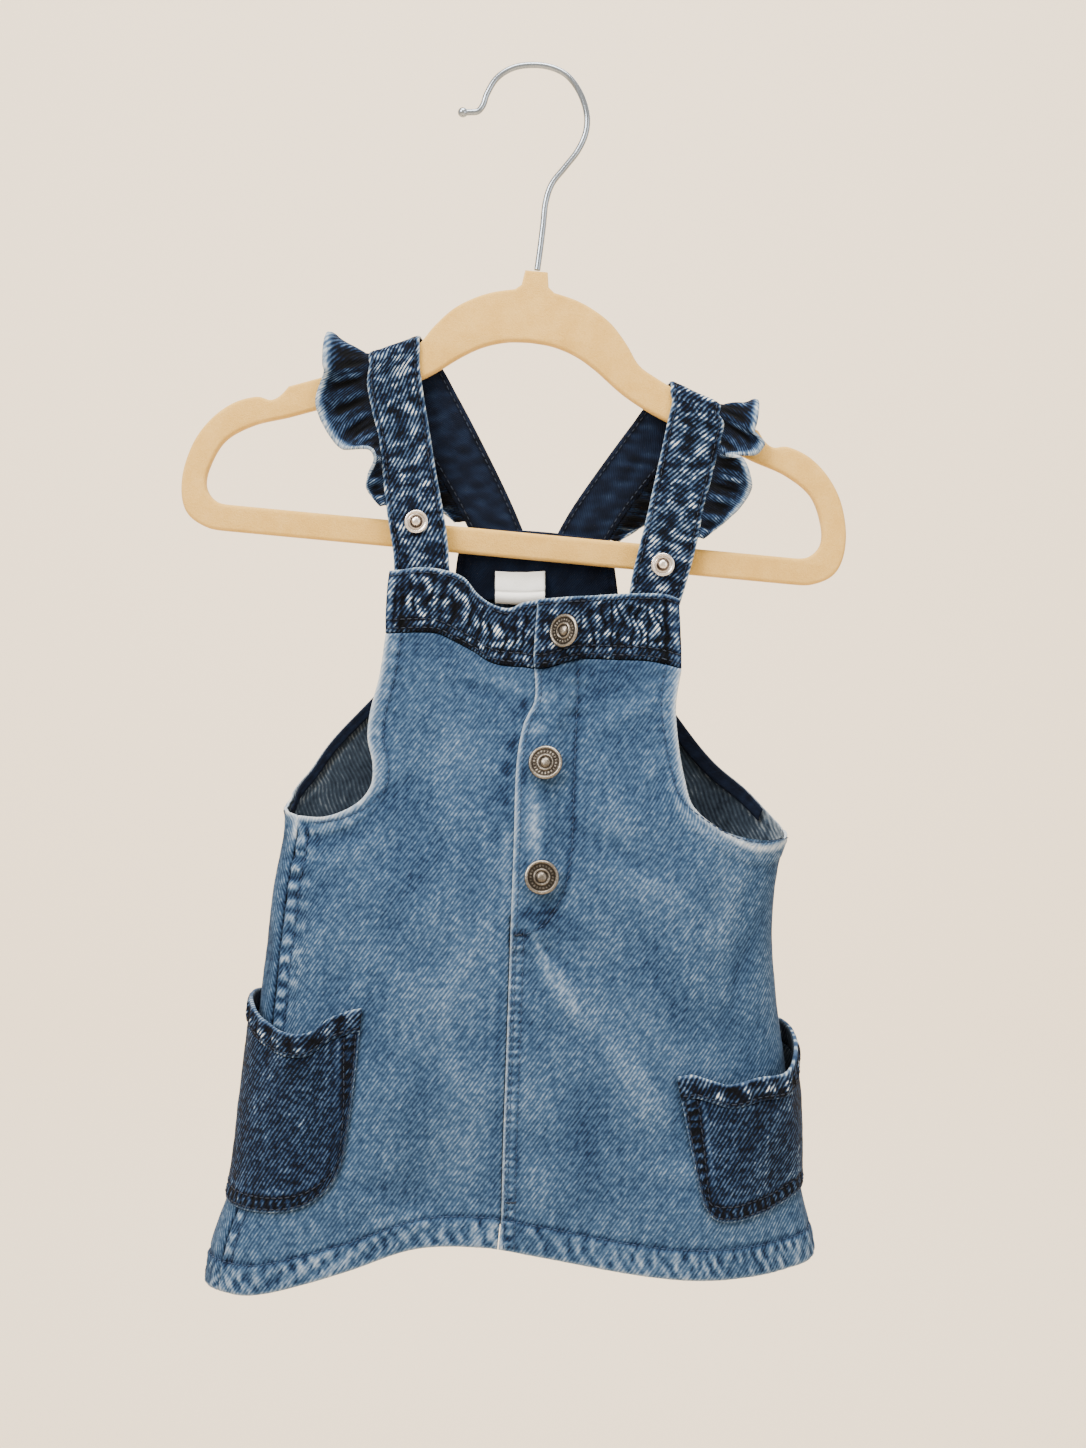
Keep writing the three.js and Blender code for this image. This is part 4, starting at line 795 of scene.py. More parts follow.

# %% [markdown]
# The main creases are placed one by one, as they lie in the photograph: short slanting pulls
# beside the fly's end, drags from the bib into the armholes, and soft breaks across the skirt.
# Each row is the middle of a crease on the cloth, its heading, its length, its width and how far
# it goes in or out. A simulation would put them anywhere, so they are listed one by one.

# %% Creases placed one by one
CREASE = "across z heading length width depth"
FRONT_RIGHT_CREASES = table(CREASE, [
    (14, -366, -38, 26, 2.6, -0.5), (19, -374, -46, 22, 2.2, 0.4), (12, -381, -50, 20, 2.4, -0.4),
    (24, -388, -58, 30, 3, 0.35), (10, -398, -62, 18, 2, -0.3), (30, -402, -48, 26, 3.4, -0.35),
    (46, -330, -34, 44, 4, -0.5), (58, -341, -30, 40, 4.5, 0.4), (38, -300, -70, 34, 4, 0.35),
    (66, -384, -64, 46, 5, -0.45), (52, -418, -60, 52, 6, 0.5), (74, -430, -58, 38, 5, -0.4),
    (34, -446, -70, 40, 5, -0.45), (60, -300, 62, 30, 3.4, -0.45), (44, -270, 24, 36, 3, 0.35),
    (26, -262, 4, 30, 2.6, -0.35), (90, -352, 76, 40, 4, 0.45), (16, -462, -80, 30, 4, 0.35),
    (8, -420, -84, 26, 2.2, 0.3), (70, -462, -10, 40, 4, -0.35), (98, -372, 70, 36, 3.4, -0.5),
])
FRONT_LEFT_CREASES = table(CREASE, [
    (-22, -262, -14, 36, 3, -0.45), (-40, -272, -24, 34, 3.4, 0.4), (-30, -300, -62, 44, 5, 0.4),
    (-54, -306, 40, 30, 3.6, -0.5), (-64, -326, 30, 34, 4, 0.45), (-18, -330, -78, 40, 4, -0.35),
    (-46, -352, 66, 50, 6, -0.4), (-24, -386, 74, 44, 5, 0.4), (-60, -380, 58, 40, 4, 0.4),
    (-34, -424, 80, 54, 6, -0.5), (-14, -446, 84, 36, 4, 0.35), (-84, -352, 62, 36, 4, -0.5),
    (-92, -372, 76, 30, 3.4, 0.5), (-56, -462, -8, 40, 5, -0.4), (-40, -476, 6, 40, 3.6, 0.4),
    (-76, -322, 12, 30, 3, -0.4),
])
BACK_CREASES = table(CREASE, [
    (-20, -262, 30, 40, 4, -0.5), (24, -270, -34, 44, 4, -0.5), (4, -300, 84, 60, 6, 0.5),
    (-44, -318, 24, 50, 5, 0.5), (48, -322, -28, 52, 5, 0.45), (-30, -362, 66, 60, 7, -0.6),
    (34, -372, -70, 66, 7, 0.6), (0, -402, 90, 70, 8, -0.6), (-62, -410, 62, 56, 6, 0.6),
    (66, -416, -58, 60, 6, -0.6), (-14, -446, 4, 50, 5, 0.4), (-96, -366, 70, 40, 4, -0.5),
    (98, -372, -66, 42, 4, 0.5), (44, -456, -10, 44, 5, -0.45), (-84, -452, 78, 50, 6, 0.5),
])
creases = {"left": FRONT_LEFT_CREASES, "right": FRONT_RIGHT_CREASES, "back": BACK_CREASES}
# Places where the wash bit paler, and places made darker: amount is above 0 where it is pale and below 0 where it is
# darker. The dark strip just under the band is painted shade.
FADES_AND_SHADE = {
    "right": [
        (8, -316, 90, 30, 3.4, 0.55), (5, -265, 0, 9, 4, 0.4), (6, -278, 0, 8, 3, 0.35), (16, -262, 70, 14, 4, 0.3),
        (3, -297, 90, 8, 1.6, -0.7), (11, -305, 80, 7, 2.2, -0.6), (5, -330, 90, 9, 1.6, -0.5), (13, -324, 90, 10, 2, -0.4),
        (9, -352, 10, 18, 3.6, -0.7), (22, -358, -28, 22, 5, -0.5), (12, -366, -62, 18, 1, 0.6), (17, -378, -52, 16, 1, 0.5),
        (14, -372, -74, 14, 0.9, 0.4), (25, -386, -60, 20, 1.2, 0.35), (44, -262, 30, 40, 6, 0.16), (60, -290, 66, 40, 5, 0.13),
        (52, -335, -40, 60, 10, 0.1), (86, -345, 80, 50, 5, 0.13), (60, -400, -55, 50, 9, 0.1), (34, -440, 80, 60, 9, -0.15),
        # The entry at (20, -254) is a strip of painted shade just under the band.
        (3, -385, 88, 60, 1.6, 0.25), (3, -440, 88, 60, 1.6, 0.3), (20, -254, 0, 60, 4, -0.25), (70, -446, 10, 50, 8, -0.12),
    ],
    "left": [
        (-3, -284, 80, 7, 2, -0.8), (-4, -294, 70, 8, 2.4, -0.8), (-5, -304, 90, 8, 2, -0.7), (-8, -321, 80, 8, 2, -0.5),
        (-12, -259, -20, 34, 5, 0.22), (-40, -262, -16, 40, 7, 0.15), (-52, -285, 80, 40, 6, 0.14), (-26, -282, -70, 44, 9, 0.12),
        (-46, -330, 70, 70, 12, -0.15), (-24, -380, 80, 70, 14, 0.08), (-58, -395, 76, 60, 12, -0.12), (-4, -268, 80, 9, 2.4, -0.6),
        (-3, -330, 90, 26, 2, 0.3), (-20, -440, 84, 60, 8, 0.1), (-3, -400, 90, 70, 1.6, -0.35), (-3, -455, 90, 40, 1.6, -0.35),
    ],
    "back": [
        (0, -258, 0, 120, 6, 0.2), (-30, -320, 70, 90, 14, -0.2), (36, -350, -74, 90, 14, 0.14), (0, -400, 90, 80, 12, 0.12),
        (70, -420, -70, 60, 10, -0.2), (-74, -400, 66, 70, 11, 0.12), (-20, -440, 10, 90, 9, -0.12),
    ],
}

# %% Sewing the body
def fade_and_shade(cloth, rows, centre=0.0):
    """Washes the cloth pale, or makes it darker, around places given in a table; just under the band the darker place
    is painted shade.
    """
    u, v = cloth.thread[..., 0] - centre, cloth.thread[..., 1]
    ragged = 1 + 0.35 * lumps(u, v, 4, 5)
    for x, z, heading, length, width, amount in rows:
        a = math.radians(heading)
        along = (u - x) * math.cos(a) + (v - z) * math.sin(a)
        aside = (v - z) * math.cos(a) - (u - x) * math.sin(a)
        spot = np.exp(-((aside / width) ** 2) - (along / (length / 2)) ** 4) * ragged
        if amount > 0:
            cloth.worn = np.maximum(cloth.worn, amount * spot)
        else:
            # Below 0 the place is made darker; just under the band this is painted shade.
            cloth.deep_dye_and_shade = cloth.deep_dye_and_shade - amount * spot


def sew_body(side, cloth, is_back=False):
    u, v = cloth.thread[..., 0], cloth.thread[..., 1]
    seed = {"left": 11, "right": 12, "back": 13}[side]
    centre = 0 if is_back else read(FLY_EDGE, "z", v, "x")
    crease(cloth, creases[side], centre)
    fade_and_shade(cloth, FADES_AND_SHADE[side], centre)
    # Painted shade: the body is made darker towards its top, to offset the brighter lamp light that falls there.
    cloth.deep_dye_and_shade += 0.26 * ease(v, -350, -250)
    cloth.relief += 0.16 * lumps(u, v, 26, seed) + 0.07 * lumps(u, v, 8, seed + 20)
    press(cloth, hem_seam[side], 0.5, 0.8, 0.3, 6, 8.5, seed, 0.45)
    twist = 2 * math.pi * (u + 0.55 * v)
    roping = 0.55 * np.sin(twist / 7.4 + 1.3 * lumps(u, v, 30, seed + 3)) * (0.6 + 0.7 * lumps(u, v, 19, seed + 4))
    roping += 0.8 * lumps(u + 0.5 * v, v * 0.6, 3.2, seed + 5)
    in_hem = ease(-v, -hem_line(cloth.turn) - HEM_HEIGHT, -hem_line(cloth.turn) - HEM_HEIGHT + 3)
    cloth.relief += 0.3 * roping * in_hem
    washed = 0.17 + 0.25 * lumps(u, v, 45, seed + 6)
    cloth.worn = np.maximum(cloth.worn, np.clip(washed + 0.5 * roping, 0, 0.75) * in_hem)
    cloth.deep_dye_and_shade += (0.12 + 0.6 * np.clip(-roping, 0, 1)) * in_hem
    wear(cloth, cloth.base[-1], 1.1, 0.85)
    rows = int(cloth.base.shape[0] * ARMHOLE_SHARE)
    for edge in ([0, -1] if is_back else [0]):
        hole = cloth.base[:rows, edge]
        seam = cloth.base[rows : -HEM_ROWS - 2, edge]
        distance, _ = near(cloth.base, even(hole))
        cloth.relief += 0.4 * (1 - ease(distance, 6.2, 7.6)) + 0.25 * (1 - ease(distance, 1.6, 3))
        press(cloth, inset(cloth, ("right" if edge else "left"), 6.6)[:rows], 0.25, 0.7, 0.3, 4, 6, seed + 50, 0.45)
        wear(cloth, hole, 2.0, 1.0)
        cloth.worn = np.maximum(cloth.worn, 0.3 * (1 - ease(distance, 4.5, 7)) * (0.6 + 0.6 * lumps(u, v, 6, seed + 8)))
        press(cloth, seam, 0.3, 0.7, 0.34, 5, 7.5, seed + edge, 0.5)


for side, cloth in front.items():
    sew_body(side, cloth)
sew_body("back", back, True)
right = front["right"]
ladder(right, on_body(list(zip(centre_x + 3.2, centre_z))), 2.4, 3.7, 30, 0.45, 0.7)
for row, line in enumerate(centre_rows):
    press(right, line, 0.22, 0.7, 0.16, 2.6, 6.5, 31 + row, 0.3)
    press(front["left"], line, 0.1, 0.7, 0.12, 3, 6.5, 33, 0.2)
press(right, fly_row, 0.25, 0.8, 0.26, 4.5, 7, 34, 0.55)
press(right, bar_tack, 0.2, 0.8, 0.1, 2, 5, 35, 0.5)
wear(right, right.base[:-1, -1], 1.3, 0.95)
side_fell = {"left": inset(front["left"], "left", 6.2)[101:-HEM_ROWS], "right": inset(right, "left", 6.2)[101:-HEM_ROWS]}
press(front["left"], side_fell["left"], 0.3, 0.7, 0.42, 4.5, 8, 36, 0.6)
ladder(front["left"], inset(front["left"], "left", 3.4)[101:-HEM_ROWS], 2.8, 7.5, 37, 0.6, 0.5, 0.3)
ladder(front["left"], inset(front["left"], "left", 9)[101:170], 4, 9.5, 38, 0.4, 0.35, 0.2)
print("relief of the body from", round(float(right.relief.min()), 2), "to", round(float(right.relief.max()), 2), "mm")

# %% The body's meshes
for side, cloth in front.items():
    cloth_mesh(f"front_cloth_{side}", cloth, [light_denim, inside_denim])
cloth_mesh("back_cloth", back, [light_denim, inside_denim])

# %% [markdown]
# The bib's band is two halves, gathered on a short thread, so that it stands in many upright
# puckers. The gathers are a wave across the band that wanders in pitch and dies at both edges. The
# right half laps over the left and lies flat under the top button.

# %% The bib band
TOP_BUTTON = 13.4


def bib_band(side, columns, rows):
    left = side == "left"
    u, v = grid(columns, rows)
    z_guess = mix(-218, -250, v)
    side_x, fly_x = read(BAND_SIDES, "z", z_guess, side), read(FLY_EDGE, "z", z_guess, "x")
    x = mix(side_x, fly_x + BAND_LAP, u) if left else mix(fly_x, side_x, u)
    z = mix(read(BAND_TOP, "x", x, "z"), read(BAND_BOTTOM, "x", x, "z"), v)
    base, facing = hang(turn_at(x, z), z)
    lapped = 1 - ease(x - fly_x, BAND_LAP + 1, BAND_LAP + 11)
    lift = 0 if left else (BAND_WALL + GAP + 0.2) * lapped
    clear = 1 - ease(x - fly_x, -4, 0) if left else ease(x - fly_x, 1, 8)
    wander = np.sin(u * 9.1) * 0.9 + np.sin(u * 23.7) * 0.4 + 2.3 * lumps(x, z * 0.9, 9, 38 + left)
    slant = (1.5 if left else -0.9) * (v - 0.5)
    ridge = np.abs(np.sin(math.pi * BAND_PUCKERS * u + wander / 2 + slant + 0.7)) ** 0.7
    gather = (1.9 * ridge - 1.1) * np.sin(math.pi * v) ** 0.7 * (0.72 + 0.4 * lumps(x, z, 7, 36 + left))
    button = 0 if left else np.exp(-(((x - TOP_BUTTON) / 7) ** 2))
    cloth = Cloth(base, facing, BAND_OUT + lift, BAND_WALL, thread_grid(base), follow=0.0)
    small = lumps(x, z, 5, 40 + left) * 0.16
    cloth.relief = clear * ((1 - button) * 0.75 * gather + small)
    cloth.deep_dye_and_shade += 0.35 + 0.25 * lumps(x, z, 13, 44 + left)
    for distance, seed in ((1.6, 1), (5.2, 2)):
        press(cloth, inset(cloth, "bottom", distance), 0.3, 0.6, 0.12, 2.5, 5, seed, 0.45)
    press(cloth, inset(cloth, "top", 2.2), 0.2, 0.6, 0.1, 2, 4.5, 3, 0.3)
    outer = "left" if left else "right"
    press(cloth, inset(cloth, outer, 6.5), 0.3, 0.7, 0.15, 2.5, 5, 4, 0.8)
    wear(cloth, cloth.base[0], 1.5, 1.0)
    wear(cloth, cloth.base[:, -1 if left else 0], 1.3, 0.3 if left else 1.0)
    wear(cloth, inset(cloth, outer, 1.5), 1.8, 0.6)
    return cloth


band = {side: bib_band(side, 220, 34) for side in ("left", "right")}
for side, cloth in band.items():
    cloth.sharpness = 0.55
    cloth_mesh(f"bib_band_{side}", cloth, [dark_denim, navy_twill])

# %% [markdown]
# Behind, a small yoke takes the straps. Seen through the neck it shows its navy facing, which has
# room for the straps' ends above and lies close below.

# %% Yoke, facing and armhole facings
def facing_depth(share):
    return DENIM + GAP + (STRAP_WALL + GAP) * (1 - ease(share, 0.35, 1) * 0.85)


def yoke_cloth(margin, facing_side, columns=76, rows=34):
    u, v = grid(columns, rows)
    z_guess = mix(-194, -222, v)
    left = read(YOKE_SIDES, "z", z_guess, "left") + margin
    right = read(YOKE_SIDES, "z", z_guess, "right") - margin
    x = mix(left, right, u)
    z = mix(read(YOKE_TOP, "x", x, "z") - margin * 0.3, read(YOKE_SEAM, "x", x, "z") - 2 * margin, v)
    base, facing = hang(turn_at(x, z, "back"), z)
    out = -facing_depth(v) if facing_side else 0
    cloth = Cloth(base, facing, out, FACING_WALL if facing_side else DENIM, thread_grid(base))
    cloth.relief += 0.12 * lumps(x, z, 9, 51 + facing_side)
    for edge in ("left", "right", "top"):
        press(cloth, inset(cloth, edge, 2.2), 0.18, 0.6, 0.1, 2.5, 5, 52, 0.3)
        if not facing_side:
            wear(cloth, inset(cloth, edge, 0), 0.9, 0.8)
    return cloth


yoke, yoke_facing = yoke_cloth(0, False), yoke_cloth(0.6, True)
cloth_mesh("yoke", yoke, [dark_denim, navy_twill])
cloth_mesh("yoke_lining", yoke_facing, [navy_twill])
DEGREE = 1.8


def armhole_strip(hole, inward, width, columns=150, rows=8):
    u, v = grid(columns, rows)
    share = mix(0.03, 0.86, u[0])
    place = hole.at(share)
    along = unit(hole.at(share + 0.002) - hole.at(share - 0.002))
    turn = place[:, 0] - inward * along[:, 1] * v * width / DEGREE
    z = place[:, 1] - np.abs(along[:, 0]) * v * width * 0.8 - v * 0.6
    base, facing = hang(turn, z)
    cloth = Cloth(base, facing, -DENIM - 2 * GAP, FACING_WALL, thread_grid(base))
    cloth.relief += 0.1 * lumps(u * 150, v * 8, 7, 61)
    press(cloth, inset(cloth, "top", 1.2), 0.15, 0.5, 0.1, 2, 5, 62, 0.3)
    return cloth


strips = {"left": armhole_strip(back_holes["left"], -1, 5), "right": armhole_strip(back_holes["right"], 1, 7)}
for side, cloth in strips.items():
    cloth_mesh(f"armhole_strip_{side}", cloth, [navy_twill])

# %% [markdown]
# Each strap runs up from the bib, turns over the hanger's arm and comes down inside to the yoke.
# It is a band swept along two edge lines, so its width and its slant follow the photograph. The
# outside is acid-washed denim with white worn edges, the inside is navy twill.

# %% The straps' tables
STRAP_LEFT = {
    "fold": dict(x=-57.4, z=-120.7, rise=19.3, bend=3.1, outer=-11.15, inner=11.2, lead=0.213),
    "front_outer": [(-70.2, -132.7), (-68.4, -143.8), (-65.4, -155.1), (-62.6, -179.8), (-60.9, -192.3), (-59, -203.6), (-58.2, -219.5)],
    "front_inner": [(-48.2, -125.2), (-46.8, -136.4), (-44.8, -148.4), (-40.9, -172.2), (-38.5, -185), (-36.5, -198), (-35, -219.5)],
    "back_outer": [(-60.9, -134), (-41.8, -168), (-32.6, -184), (-24.6, -200.6)],
    "back_inner": [(-38.5, -126.5), (-24.9, -151.8), (-9.6, -183), (-2.4, -200.6)],
}
STRAP_RIGHT = {
    "fold": dict(x=65.5, z=-140.6, rise=-25, bend=3.1, outer=11.3, inner=-11.4, lead=-0.24),
    "front_outer": [(79, -149.5), (78, -156), (75.7, -164.9), (73.4, -174.5), (70.4, -185), (68.2, -196.9), (64.4, -212), (60.2, -226)],
    "front_inner": [(57.3, -140.5), (55.2, -150.1), (53.3, -159.1), (48.7, -179.6), (46.1, -191), (43, -203.2), (40.4, -214), (38.4, -226)],
    "back_outer": [(68, -150.5), (51.3, -170), (38, -187), (27.6, -203.6)],
    "back_inner": [(46.6, -141.6), (31.2, -162.2), (14.6, -186), (6, -201.6)],
}
RUFFLE_LEFT = table("at out lift slide", [
    (0, 1.5, 0.5, 0), (0.05, 6.5, 1, 0), (0.09, 5.5, 3.5, 0), (0.13, 1.8, 6.5, 0), (0.17, 4, 7, -1),
    (0.21, 13, 4, -5), (0.245, 16.5, 1.5, -7.5), (0.28, 20, 0, -3.5), (0.33, 22, 0, 0),
    (0.38, 20.5, 0.8, 3), (0.42, 17.5, 6.5, 2), (0.455, 12, 13, 0), (0.5, 8, 5, -8),
    (0.56, 15, 0.5, -2), (0.63, 17, 5.5, 0), (0.7, 14, 0.5, 0), (0.77, 14, 5, 1),
    (0.84, 11, 0.5, 0), (0.91, 10, 4, 0), (1, 4, 0.5, 0),
])
RUFFLE_RIGHT = table("at out lift slide", [
    (0, 1.2, 0.5, 0), (0.05, 7, 0.5, -1), (0.11, 13.5, 1, 0), (0.17, 16, 2.5, 0),
    (0.21, 15.5, 5, 0), (0.25, 9.5, 7, 3), (0.28, 3, 7.5, -2), (0.31, 7.5, 6, -4),
    (0.34, 14.5, 2.5, -5), (0.37, 16, 0.6, -4.5), (0.405, 15.5, 1, -1), (0.44, 14, 5, 0),
    (0.475, 12, 10.5, 0), (0.51, 8, 4.5, -7), (0.56, 13, 0.5, -2), (0.63, 16, 5.5, 0),
    (0.7, 14, 0.5, 0), (0.77, 14, 5, 0), (0.84, 12, 0.5, 0), (0.92, 10, 4.5, 0), (1, 4, 0.5, 0),
])
POCKET_LEFT = table("turn mouth bottom gape", [
    (-35.5, -390.2, -451, 0), (-37.2, -390.8, -460.2, 0.9), (-39, -391.6, -464.4, 2), (-43, -394.2, -469.8, 4.5),
    (-48, -400.2, -472.6, 7), (-56, -400.4, -473.8, 8), (-66, -396.4, -473.6, 6.5),
    (-78, -390.5, -472, 3.5), (-90, -387.6, -469, 2), (-102, -387, -464, 1.5),
    (-114, -388, -452, 0),
])
POCKET_RIGHT = table("turn mouth bottom gape", [
    (35, -417.6, -468.5, 0), (36.6, -417.3, -473.4, 0.8), (39, -417, -475.7, 2), (44, -419.6, -476.3, 4.5),
    (48, -421.2, -475.6, 6), (57, -419, -473.4, 7.5), (69, -418.2, -469.5, 7), (80, -411, -466.5, 5),
    (90, -404.6, -463.5, 3.6), (104, -399.6, -460, 2.5), (116, -399.4, -454, 1),
    (122, -400.4, -444, 0),
])
STRAP_FRONT_Y, STRAP_BACK_Y = (-4.1, -9.1), (4.1, 6.2)
STRAP_SHAPES = {"left": STRAP_LEFT, "right": STRAP_RIGHT}
RUFFLE_SHAPES = {"left": (0.18, 0.94, RUFFLE_LEFT), "right": (0.17, 0.96, RUFFLE_RIGHT)}

# %% The straps' course
def strap_stations(side):
    """Outer edge, inner edge and facing of a strap, from its front end to its back end."""
    shape = STRAP_SHAPES[side]
    fold = shape["fold"]
    rise = math.radians(fold["rise"])
    axis, up = np.array([math.cos(rise), 0, math.sin(rise)]), np.array([-math.sin(rise), 0, math.cos(rise)])
    radius = fold["bend"] + STRAP_WALL / 2

    def stretch(outer, inner, depths, steps):
        t = np.linspace(0, 1, steps + 1)
        edges = [Line([(x, 0, z) for x, z in points]).at(t) for points in (outer, inner)]
        y = mix(depths[0], depths[1], ease(t, 0, 1))
        for edge in edges:
            edge[:, 1] = y
        facing = np.zeros((steps + 1, 3))
        facing[:, 1] = np.sign(depths[0])
        return edges[0], edges[1], facing

    angle = np.linspace(0, math.pi, 9)[:, None]
    turned = []
    for reach in (fold["outer"], fold["inner"]):
        p = np.array([fold["x"], 0, fold["z"]]) + axis * (reach + fold["lead"] * radius * (angle - math.pi / 2))
        p = p + up * radius * np.sin(angle)
        p[:, 1] = -radius * np.cos(angle[:, 0])
        turned.append(p)
    facing = up * np.sin(angle)
    facing[:, 1] = -np.cos(angle[:, 0])
    first = [part[::-1] for part in stretch(shape["front_outer"], shape["front_inner"], STRAP_FRONT_Y, 12)]
    last = stretch(shape["back_outer"], shape["back_inner"], STRAP_BACK_Y, 8)
    return [np.concatenate(parts) for parts in zip(first, (*turned, facing), last)]


def strap_cloth(side, columns=30, rows=250):
    outer, inner, facing = strap_stations(side)
    t = np.linspace(0, 1, rows)
    a, b = Line(outer), Line(inner)
    share = a.place(t)
    edge_a, edge_b = a.read(share), b.read(share)
    turned = np.stack([np.interp(share, np.linspace(0, 1, len(facing)), facing[:, k]) for k in range(3)], -1)
    u = np.linspace(0, 1, columns)[None, :, None]
    base = mix(edge_a[:, None], edge_b[:, None], u)
    width = np.linalg.norm(edge_b - edge_a, axis=1)[:, None]
    across = u[..., 0] if side == "left" else 1 - u[..., 0]
    thread = np.stack(np.broadcast_arrays(width * across, a.length * t[:, None]), -1)
    cloth = Cloth(base, np.broadcast_to(unit(turned)[:, None], base.shape), STRAP_WALL / 2, STRAP_WALL, thread)
    across, along = thread[..., 0], thread[..., 1]
    cloth.relief += 0.2 * lumps(across * 0.7, along * 1.5, 7.5, 71 + (side == "left")) + 0.12 * lumps(across, along * 2, 6, 75)
    for k, edge in enumerate(("left", "right")):
        press(cloth, inset(cloth, edge, 2.0), 0.26, 0.6, 0.14, 2.6, 4.6, 76 + k, 0.5)
        wear(cloth, inset(cloth, edge, 0), 0.95, 1.0)
    cloth.worn *= 1 - 0.85 * ease(np.linspace(0, 1, rows)[:, None], 0.5, 0.58)
    return cloth


strap = {side: strap_cloth(side) for side in ("left", "right")}
for side, cloth in strap.items():
    cloth_mesh(f"strap_cloth_{side}", cloth, [dark_denim, navy_twill])

# %% [markdown]
# A frill is a strip that is longer than the edge it is sewn to. Its free edge swings in and out in
# big lobes, which the table names one by one, and its root is drawn into many small gathers. Finer
# gathers are added here, and the free edge ends in a rolled hem, rubbed white.

# %% The frills
RUFFLE_GATHERS = 16


def frill_cloth(side, columns=420, rows=17):
    start, end, lobes = RUFFLE_SHAPES[side]
    outer, inner, facing = strap_stations(side)
    root, across, faces = Line(outer), Line(unit(outer - inner)), Line(facing)
    u, v = grid(columns, rows)
    t = root.place(mix(start, end, u[0]))
    outward, normal = unit(across.read(t)), unit(faces.read(t))
    along = unit(root.read(t + 0.001) - root.read(t - 0.001))
    out, lift, slide = (read(lobes, "at", u[0], name) for name in ("out", "lift", "slide"))
    wave = np.sin(2 * math.pi * RUFFLE_GATHERS * u + np.sin(u * 17) * 0.8)
    fine = np.sin(2 * math.pi * 41 * u + 2.2 * np.sin(u * 29) + 1.1 * v)
    gather = 0.8 * (1 + wave) * np.sin(math.pi * v) + 0.22 * fine * np.sin(math.pi * np.minimum(v * 1.5, 1))
    curl = 2.6 * ease(v, 0.55, 1) ** 1.5 * ease(out, 6, 15)
    rise = np.maximum(0, lift) * v**1.2 + gather + curl
    tuck = mix(-0.9, GAP + 0.25, ease(v, 0, 0.06))
    base = root.read(t) + outward * (tuck + np.maximum(0.8, out) * v)[..., None]
    base = base + normal * rise[..., None] + along * (slide * v**1.5)[..., None]
    turned = unit(np.cross(np.gradient(base, axis=1), np.gradient(base, axis=0)))
    if (turned * normal).sum() < 0:
        turned = -turned
    rolled = ease(v, 0.8, 0.9)
    wall = RUFFLE_WALL * (1 + 0.5 * rolled)
    step = np.cumsum(np.linalg.norm(np.diff(base, axis=0), axis=-1), axis=0)
    reach = np.concatenate([np.zeros((1, columns)), step])
    length = root.length * (end - start) * 1.9
    cloth = Cloth(base, turned, wall / 2, wall, np.stack([u * length, -reach], -1))
    cloth.relief = 0.2 * (0.6 * wave + 0.5 * fine) * np.sin(math.pi * np.minimum(v * 1.2, 1))
    cloth.sharpness = 0.14
    # Painted shade: the frill is made darker from its root to the middle of its lobes, and more so in the hollows of
    # its gathers.
    cloth.deep_dye_and_shade = 0.7 * (1 - ease(v, 0.45, 0.8)) * (1 - 0.4 * wave) * ease(out, 2, 9)
    cloth.worn = 0.95 * ease(v, 0.8, 0.93)
    return cloth


frill = {side: frill_cloth(side) for side in ("left", "right")}
for side, cloth in frill.items():
    cloth_mesh(f"frill_{side}", cloth, [frill_denim_shaded, frill_denim_shaded])

# %% [markdown]
# The patch pockets wrap round the side seams and stand off the skirt at the mouth, where their own
# weight opens them. Each is a patch and a folded band above it. Two rows of stitches run round the
# patch, and the dye stays almost black between them.

# %% The pockets
POCKET_SHAPES = {"left": (-1.5, POCKET_LEFT), "right": (4, POCKET_RIGHT)}


def pocket_places(side, u):
    slant, rows = POCKET_SHAPES[side]
    turn = mix(rows["turn"][0], rows["turn"][-1], u)
    mouth, bottom, gape = (read(rows, "turn", turn, name) for name in ("mouth", "bottom", "gape"))
    return turn, mouth, bottom, np.maximum(0, gape), slant


def on_pocket(side, u, z):
    """Place and facing of a pocket's back, with how far it stands off the skirt."""
    turn, mouth, bottom, gape, slant = pocket_places(side, u)
    v = np.clip((mouth - z) / (mouth - bottom), 0, 1)
    belly = 1.6 * np.sin(math.pi * v) * np.sin(math.pi * u) ** 0.5
    base, facing = hang(turn + slant * (1 - u) * v, z)
    return base, facing, GAP + gape * (1 - v) ** 1.6 + belly


def pocket_patch(side, columns=130, rows=66):
    u, v = grid(columns, rows)
    turn, mouth, bottom, gape, slant = pocket_places(side, u)
    z = mix(mouth - POCKET_BAND_HEIGHT - GAP / 3, bottom, v)
    base, facing, stand = on_pocket(side, u, z)
    thread = thread_grid(base)
    if side == "left":
        thread[..., 0] *= -1
    cloth = Cloth(base + facing * stand[..., None], facing, POCKET_WALL, POCKET_WALL, thread)
    across, along = cloth.thread[..., 0], cloth.thread[..., 1]
    cloth.relief += 0.14 * lumps(across, along, 12, 81) + 0.07 * lumps(across, along, 5, 82)
    for k, distance in enumerate((1.4, 6.2)):
        press(cloth, pocket_row(cloth, distance), 0.26, 0.7, 0.2, 2.4, 5, 83 + k, 0.5)
    ladder(cloth, pocket_row(cloth, 3.8), 2.4, 3.6, 85, 0.5, 0.8, 0.16)
    edge = pocket_row(cloth, 0)
    distance, _ = near(cloth.base, even(edge))
    cloth.deep_dye_and_shade += 0.35 * ease(distance, 1.2, 2.2) * (1 - ease(distance, 5, 6.5))
    wear(cloth, edge, 0.9, 0.85)
    wear(cloth, pocket_row(cloth, 8.4), 1.1, 0.32)
    cloth.relief *= ease(distance, -0.5, 2.5)
    return cloth


def pocket_row(cloth, distance):
    """Line round the pocket's sides and bottom at a distance from its edge."""
    sides = [inset(cloth, "left", distance, ["end"]), inset(cloth, "bottom", distance, ["start", "end"]),
             inset(cloth, "right", distance, ["end"])[::-1]]
    return np.concatenate(sides)


